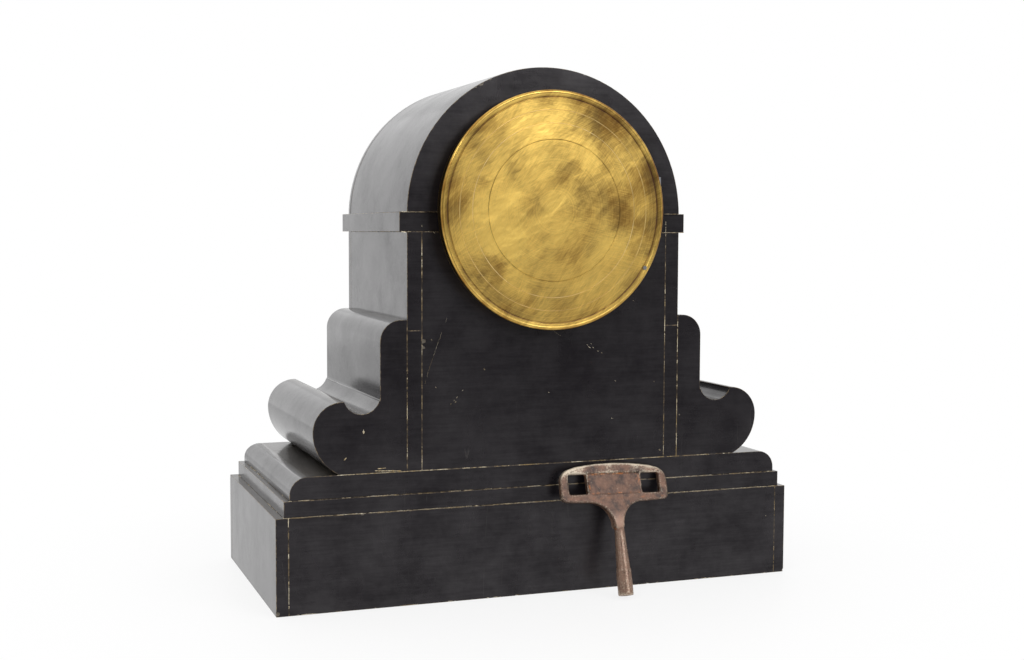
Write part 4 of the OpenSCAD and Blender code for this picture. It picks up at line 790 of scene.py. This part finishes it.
def cover_profile(look):
    """Section of the cover as (radius, y) from the middle of its face round to the middle of its inside."""
    bead = look.bead
    rim = COVER_R - bead
    face = COVER_Y - 1.0 * MM
    inside = face - look.sheet
    line = 0.3 * MM
    points = [(0.0, face)]
    for share in COVER_CIRCLES:
        at = share * COVER_R
        points += [(at - line, face), (at - 0.5 * line, face - 0.6 * line),
                   (at + 0.5 * line, face - 0.6 * line), (at + line, face)]
    groove, depth = COVER_GROOVE * COVER_R, 0.5 * MM
    points += [(groove - depth * cos(a), face - depth * sin(a)) for a in (k * pi / 6 for k in range(7))]
    middle = COVER_Y - bead
    points += [(rim + bead * cos(a), middle + bead * sin(a))
               for a in (radians(142 - 15 * k) for k in range(16))]
    points += [(rim, COVER_BACK), (rim - look.sheet, COVER_BACK), (rim - look.sheet, inside), (0.0, inside)]
    return points


def lathe(work, points, parts=192):
    """Turn a section round the axis through the middle of the dial."""
    rows = []
    for radius, y in points:
        if radius == 0.0:
            rows.append([work.verts.new((0.0, y, DIAL_Z))] * parts)
        else:
            rows.append([work.verts.new(point) for point in ring_points(radius, y, parts)])
    for first, second in zip(rows, rows[1:]):
        for k in range(parts):
            after = (k + 1) % parts
            corners = dict.fromkeys((first[k], first[after], second[after], second[k]))
            work.faces.new(list(corners))


class CLOCK_OT_rear_cover(bpy.types.Operator):
    """Turn the rear cover smooth, keep its knuckle, and give it its rubbed and tarnished brass"""
    bl_idname = "clock.rear_cover"
    bl_label = "Rear cover"

    def execute(self, context):
        look = context.scene.clock_brass
        brass = finish_of(rubbed_sheet_brass, look)
        work = bmesh.new()
        work.from_mesh(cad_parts["rear_cover"].data)
        bmesh.ops.remove_doubles(work, verts=work.verts, dist=MERGE)
        reach = COVER_R - look.bead + 0.2 * MM
        turned = [face for face in work.faces
                  if all(Vector((v.co.x, v.co.z - DIAL_Z)).length < reach or v.co.y > COVER_BACK + 4 * MM
                         for v in face.verts)]
        bmesh.ops.delete(work, geom=turned, context="FACES")
        lathe(work, cover_profile(look))
        bmesh.ops.recalc_face_normals(work, faces=work.faces)
        mesh = new_mesh("rear_cover", work)
        shade(mesh, 25)
        piece = add_piece("dressed_rear_cover", mesh, brass, "rear_cover")
        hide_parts("rear_cover")
        return {"FINISHED"}


# The winding key

def softened(mesh, name, rounds):
    """Let an attribute of a mesh run out softly on both sides of where it is high."""
    count = len(mesh.vertices)
    ends = numpy.empty(2 * len(mesh.edges), dtype=numpy.int32)
    mesh.edges.foreach_get("vertices", ends)
    ends = ends.reshape(-1, 2)
    from_ends, to_ends = numpy.concatenate([ends, ends[:, ::-1]]).T
    joined = numpy.maximum(numpy.bincount(from_ends, minlength=count), 1)
    values = numpy.empty(count, dtype=numpy.float32)
    mesh.attributes[name].data.foreach_get("value", values)
    soft = values.astype(float)
    for _ in range(rounds):
        soft = 0.5 * soft + 0.5 * numpy.bincount(from_ends, soft[to_ends], count) / joined
    values = numpy.clip(0.35 * values + 1.6 * soft, 0.0, 1.0).astype(numpy.float32)
    mesh.attributes[name].data.foreach_set("value", values)


def worn_casting(node, grain, ease):
    """Even-meshed copy of a CAD node, rounded. Its edges have wear 1 and its inner corners filled 1."""
    blank = new_object(node + "_blank", eased_copy(node, 0.0))
    skin = blank.modifiers.new("skin", "REMESH")
    skin.mode = "VOXEL"
    skin.voxel_size = grain
    mesh = flat_copy(blank, node)
    work = bmesh.new()
    work.from_mesh(mesh)
    for name in ("wear", "filled"):
        work.verts.layers.float.new(name)
    wear, filled = (work.verts.layers.float[name] for name in ("wear", "filled"))
    before = [vert.co.copy() for vert in work.verts]
    for _ in range(max(1, round(3 * (ease / grain) ** 2))):
        bmesh.ops.smooth_vert(work, verts=work.verts, factor=0.5, use_axis_x=True, use_axis_y=True,
                              use_axis_z=True)
    work.normal_update()
    pitting, full_wear, full_corner = 0.06 * MM, 0.14 * ease, 0.06 * ease
    for vert, old in zip(work.verts, before):
        lost = (old - vert.co).dot(vert.normal)
        vert[wear] = min(1.0, max(0.0, lost / full_wear))
        vert[filled] = min(1.0, max(0.0, -lost / full_corner))
        vert.co -= vert.normal * pitting * (1 + noise.noise(vert.co * per(3)))
    for face in work.faces:
        face.smooth = True
    work.to_mesh(mesh)
    work.free()
    softened(mesh, "wear", 24)
    return mesh


class CLOCK_OT_winding_key(bpy.types.Operator):
    """Round the edges of the winding key as years of handling do, and give it its rusty iron"""
    bl_idname = "clock.winding_key"
    bl_label = "Winding key"

    def execute(self, context):
        look = context.scene.clock_key
        mesh = worn_casting("winding_key", look.grain, look.ease)
        iron = finish_of(handled_rusty_iron, look)
        piece = add_piece("dressed_winding_key", mesh, iron, "winding_key")
        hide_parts("winding_key")
        return {"FINISHED"}


# The dial, the door and the movement

FIGURES = ("XII", "I", "II", "III", "IIII", "V", "VI", "VII", "VIII", "IX", "X", "XI")
# Strokes of each letter as (foot, head, width), and the letter's width, in shares of the figure height
LETTERS = {
    "I": ([(0.0, 0.0, 0.16)], 0.3),
    "V": ([(0.0, -0.22, 0.16), (0.0, 0.22, 0.05)], 0.62),
    "X": ([(0.22, -0.22, 0.16), (-0.22, 0.22, 0.05)], 0.62),
}


def add_plate(work, corners, depth, turn):
    """Add a flat plate with those corners in X and Z, standing out from the dial by depth."""
    rear = [work.verts.new(turn @ Vector((x, 0.0, z))) for x, z in corners]
    front = [work.verts.new(turn @ Vector((x, -depth, z))) for x, z in corners]
    work.faces.new(rear)
    work.faces.new(front[::-1])
    for k in range(len(corners)):
        after = (k + 1) % len(corners)
        work.faces.new((rear[after], rear[k], front[k], front[after]))


def add_figure(work, text, angle, radius, height, depth):
    """Add an hour figure whose foot looks towards the middle of the dial."""
    turn = (Matrix.Translation((0.0, DIAL_Y, DIAL_Z)) @ Matrix.Rotation(radians(angle), 4, "Y")
            @ Matrix.Translation((0.0, 0.0, radius)))

    def add_bar(foot, head, low, high, half):
        corners = ((foot - half, low), (foot + half, low), (head + half, high), (head - half, high))
        add_plate(work, [(x * height, z * height) for x, z in corners], depth, turn)

    start = -sum(LETTERS[letter][1] for letter in text) / 2
    for letter in text:
        strokes, width = LETTERS[letter]
        middle = start + width / 2
        start += width
        for foot, head, thick in strokes:
            add_bar(middle + foot, middle + head, -0.5, 0.5, thick / 2)
            for end, x in ((-0.5, middle + foot), (0.5, middle + head)):
                add_bar(x, x, end - 0.02, end + 0.02, 0.15)


def add_hoop(work, inner, outer, depth, parts=180):
    """Add a flat ring round the middle of the dial."""
    rows = [[work.verts.new(point) for point in ring_points(radius, DIAL_Y + y, parts)]
            for radius, y in ((inner, 0.0), (outer, 0.0), (outer, -depth), (inner, -depth))]
    for k in range(parts):
        after = (k + 1) % parts
        for a, b in zip(rows, rows[1:] + rows[:1]):
            work.faces.new((a[k], b[k], b[after], a[after]))


def track_tree():
    """Geometry nodes for the minute marks: a bar at each of 60 points of a circle, broader at the hours."""
    tree, add, given = new_tree("minute_track", {
        "Line": "Geometry", "Radius": "Float", "Mark length": "Float", "Mark width": "Float",
        "Depth": "Float", "Material": "Material"}, "Marks")
    ring = add("GeometryNodeCurvePrimitiveCircle", Resolution=60, Radius=given["Radius"])
    stand = add("GeometryNodeTransform", Geometry=ring, Translation=(0.0, DIAL_Y, DIAL_Z),
                Rotation=(radians(90), 0.0, 0.0))
    number = add("GeometryNodeInputIndex")
    turn = add("ShaderNodeCombineXYZ", Y=add(MATH, number, -2 * pi / 60, **TIMES))
    hour = add(MATH, add(MATH, number, 5.0, operation="MODULO"), 0.5, operation="LESS_THAN")
    width = add(MATH, given["Mark width"], add(RANGE, hour, 0.0, 1.0, 1.0, 2.6), **TIMES)
    marks = add("GeometryNodeInstanceOnPoints", Points=stand, Rotation=turn,
                Instance=add("GeometryNodeMeshCube", (1.0, 1.0, 1.0)),
                Scale=add("ShaderNodeCombineXYZ", given["Mark length"], given["Depth"], width))
    end_tree(add, marks, given["Material"])
    return tree


def refinish(nodes, material):
    """Give CAD nodes a finish through their own material slots."""
    for node in nodes:
        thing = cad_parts[node]
        if not thing.material_slots:
            thing.data.materials.append(material)
        for slot in thing.material_slots:
            slot.material = material


class CLOCK_OT_dial(bpy.types.Operator):
    """Enamel the dial, paint its figures and minute track, and finish the glass of the door"""
    bl_idname = "clock.dial"
    bl_label = "Dial and door"

    def execute(self, context):
        look = context.scene.clock_dial
        refinish(("dial",), finish_of(fired_enamel))
        refinish(("door_glass",), finish_of(clear_door_glass))
        paint = finish_of(dial_black)
        depth, margin, gap = 0.05 * MM, 4.2 * MM, 1.6 * MM
        circle_width, mark_width = 0.35 * MM, 0.42 * MM
        outer = DIAL_R - margin
        inner = outer - look.track
        work = bmesh.new()
        for line in (outer, inner):
            add_hoop(work, line, line + circle_width, depth)
        for hour, text in enumerate(FIGURES):
            add_figure(work, text, hour * 30, inner - gap - look.figure / 2, look.figure, depth)
        bmesh.ops.recalc_face_normals(work, faces=work.faces)
        add_piece("dial_figures", new_mesh("dial_figures", work), paint, BODY)
        marks = grow("minute_marks", [[(0, 0, 0), (0, 0, MM)]], track_tree(), {
            "Radius": (outer + inner) / 2, "Mark length": look.track, "Mark width": mark_width,
            "Depth": 2 * depth, "Material": paint})
        add_piece("minute_marks", marks, paint, BODY)
        return {"FINISHED"}


class CLOCK_OT_movement(bpy.types.Operator):
    """Give the brass, bronze and steel of the movement their finishes"""
    bl_idname = "clock.movement"
    bl_label = "Movement"

    def execute(self, context):
        refinish(BRASS_NODES, finish_of(grained_brass))
        refinish(STEEL_NODES, finish_of(turned_steel))
        refinish(BLUED_NODES, finish_of(blued_steel))
        refinish(("bell",), finish_of(turned_bell_bronze))
        return {"FINISHED"}


# Floor, light and camera

CAMERA_PLACE = (0.3254, 0.8925, 0.2250)
CAMERA_YAW, CAMERA_PITCH, CAMERA_ROLL = radians(20.402), radians(3.935), radians(0.212)
CAMERA_LENS = 49.815


def white_table(add, coords):
    """Matt white table: shows the shadow near the clock and fades to plain white away from it."""
    away = add(VECTOR, add(VECTOR, coords, (0.75, 0.85, 1.0), **TIMES), operation="LENGTH")
    fade = add(RANGE, away, 0.12, 0.3, 0.84, 1.0, **SMOOTH)
    rays = add("ShaderNodeLightPath").outputs
    seen = add(MATH, rays["Is Camera Ray"], rays["Is Glossy Ray"], operation="MAXIMUM")
    # In reflections the table darkens towards the unlit room behind the camera
    far = add(RANGE, add(SPLIT, coords).outputs[1], 0.3, 0.9, 1.0, 0.3, **SMOOTH)
    lit = add(MATH, far, rays["Is Camera Ray"], operation="MAXIMUM")
    matt = add(SHADER, **{"Base Color": rgba("#f4f4f4"), "Roughness": 0.45})
    white = add("ShaderNodeEmission", Strength=lit)
    return add("ShaderNodeMixShader", add(MATH, fade, seen, **TIMES), matt, white)


def studio_world(look):
    """White all round for the camera; for light, white behind the clock and dimmer behind the camera."""
    world = bpy.data.worlds.new("studio")
    add = bare_nodes(world)
    way = add(SPLIT, add("ShaderNodeTexCoord").outputs["Generated"]).outputs[1]
    front = add(RANGE, way, -0.25, 0.55, 1.0, look.front_level, **SMOOTH)
    level = add(MIX, add("ShaderNodeLightPath").outputs["Is Camera Ray"], front, 1.0)
    light = add("ShaderNodeBackground", Color=(1.0, 1.0, 1.0, 1.0), Strength=level)
    add("ShaderNodeOutputWorld", Surface=light)
    bpy.context.scene.world = world


def add_lamp(name, place, aim, size, power):
    """Square soft lamp that looks at a point."""
    data = bpy.data.lights.new(name, "AREA")
    data.shape = "SQUARE"
    data.size = size
    data.energy = power
    lamp = new_object(name, data)
    lamp.location = place
    lamp.rotation_euler = (Vector(aim) - Vector(place)).to_track_quat("-Z", "Y").to_euler()
    lamp.visible_camera = False


def add_camera():
    """Camera at the photograph's viewing angle."""
    yaw, pitch, roll = CAMERA_YAW, CAMERA_PITCH, CAMERA_ROLL
    ahead = Vector((-sin(yaw) * cos(pitch), -cos(yaw) * cos(pitch), -sin(pitch)))
    level = ahead.cross(Vector((0, 0, 1))).normalized()
    upward = level.cross(ahead)
    right = level * cos(roll) + upward * sin(roll)
    above = upward * cos(roll) - level * sin(roll)
    data = bpy.data.cameras.new("camera")
    data.lens = CAMERA_LENS
    data.sensor_width = 36.0
    data.sensor_fit = "HORIZONTAL"
    camera = new_object("camera", data)
    turn = Matrix((right, above, -ahead)).transposed().to_4x4()
    camera.matrix_world = Matrix.Translation(CAMERA_PLACE) @ turn
    bpy.context.scene.camera = camera


class CLOCK_OT_studio(bpy.types.Operator):
    """Set the table, the lamps, the white room and the camera"""
    bl_idname = "clock.studio"
    bl_label = "Studio"

    def execute(self, context):
        look = context.scene.clock_studio
        work = bmesh.new()
        bmesh.ops.create_grid(work, x_segments=8, y_segments=8, size=3.0)
        floor = new_object("table_top", new_mesh("table_top", work))
        floor.data.materials.append(finish_of(white_table))
        floor.location.z = -0.3 * MM
        studio_world(look)
        add_lamp("main_lamp", (-0.7, 1.5, 1.05), (0.0, 0.0, 0.18), 1.1, look.key_power)
        add_lamp("rim_lamp", (1.0, 1.0, 1.1), (0.0, 0.08, 0.22), 0.5, look.rim_power)
        add_lamp("top_lamp", (0.3, 0.2, 1.8), (0.0, 0.0, 0.15), 1.4, look.top_power)
        add_lamp("back_lamp", (0.75, -1.7, 0.6), (0.0, 0.0, 0.15), 1.8, look.back_power)
        add_camera()
        context.scene.view_settings.view_transform = "Standard"
        return {"FINISHED"}


class CLOCK_PT_panel(bpy.types.Panel):
    """Clock tools"""
    bl_label = "Slate mantel clock"
    bl_idname = "CLOCK_PT_panel"
    bl_space_type = "VIEW_3D"
    bl_region_type = "UI"
    bl_category = "Clock"

    def draw(self, context):
        for look in LOOKS:
            for name in look.__annotations__:
                self.layout.prop(getattr(context.scene, LOOKS[look]), name)
        for operator in OPERATORS:
            self.layout.operator(operator.bl_idname)


LOOKS = {
    CaseLook: "clock_case", PlasterLook: "clock_plaster", BrassLook: "clock_brass",
    KeyLook: "clock_key", DialLook: "clock_dial", StudioLook: "clock_studio",
}
OPERATORS = (
    CLOCK_OT_studio, CLOCK_OT_slate_case, CLOCK_OT_joint_plaster, CLOCK_OT_rear_cover,
    CLOCK_OT_winding_key, CLOCK_OT_dial, CLOCK_OT_movement,
)


def register():
    for item in (*LOOKS, *OPERATORS, CLOCK_PT_panel):
        bpy.utils.register_class(item)
    for look, name in LOOKS.items():
        setattr(bpy.types.Scene, name, PointerProperty(type=look))


def unregister():
    for name in LOOKS.values():
        delattr(bpy.types.Scene, name)
    for item in reversed((*LOOKS, *OPERATORS, CLOCK_PT_panel)):
        bpy.utils.unregister_class(item)


def main():
    register()
    bpy.ops.clock.studio()
    bpy.ops.clock.slate_case()
    bpy.ops.clock.joint_plaster()
    bpy.ops.clock.rear_cover()
    bpy.ops.clock.winding_key()
    bpy.ops.clock.dial()
    bpy.ops.clock.movement()


if __name__ == "__main__":
    main()
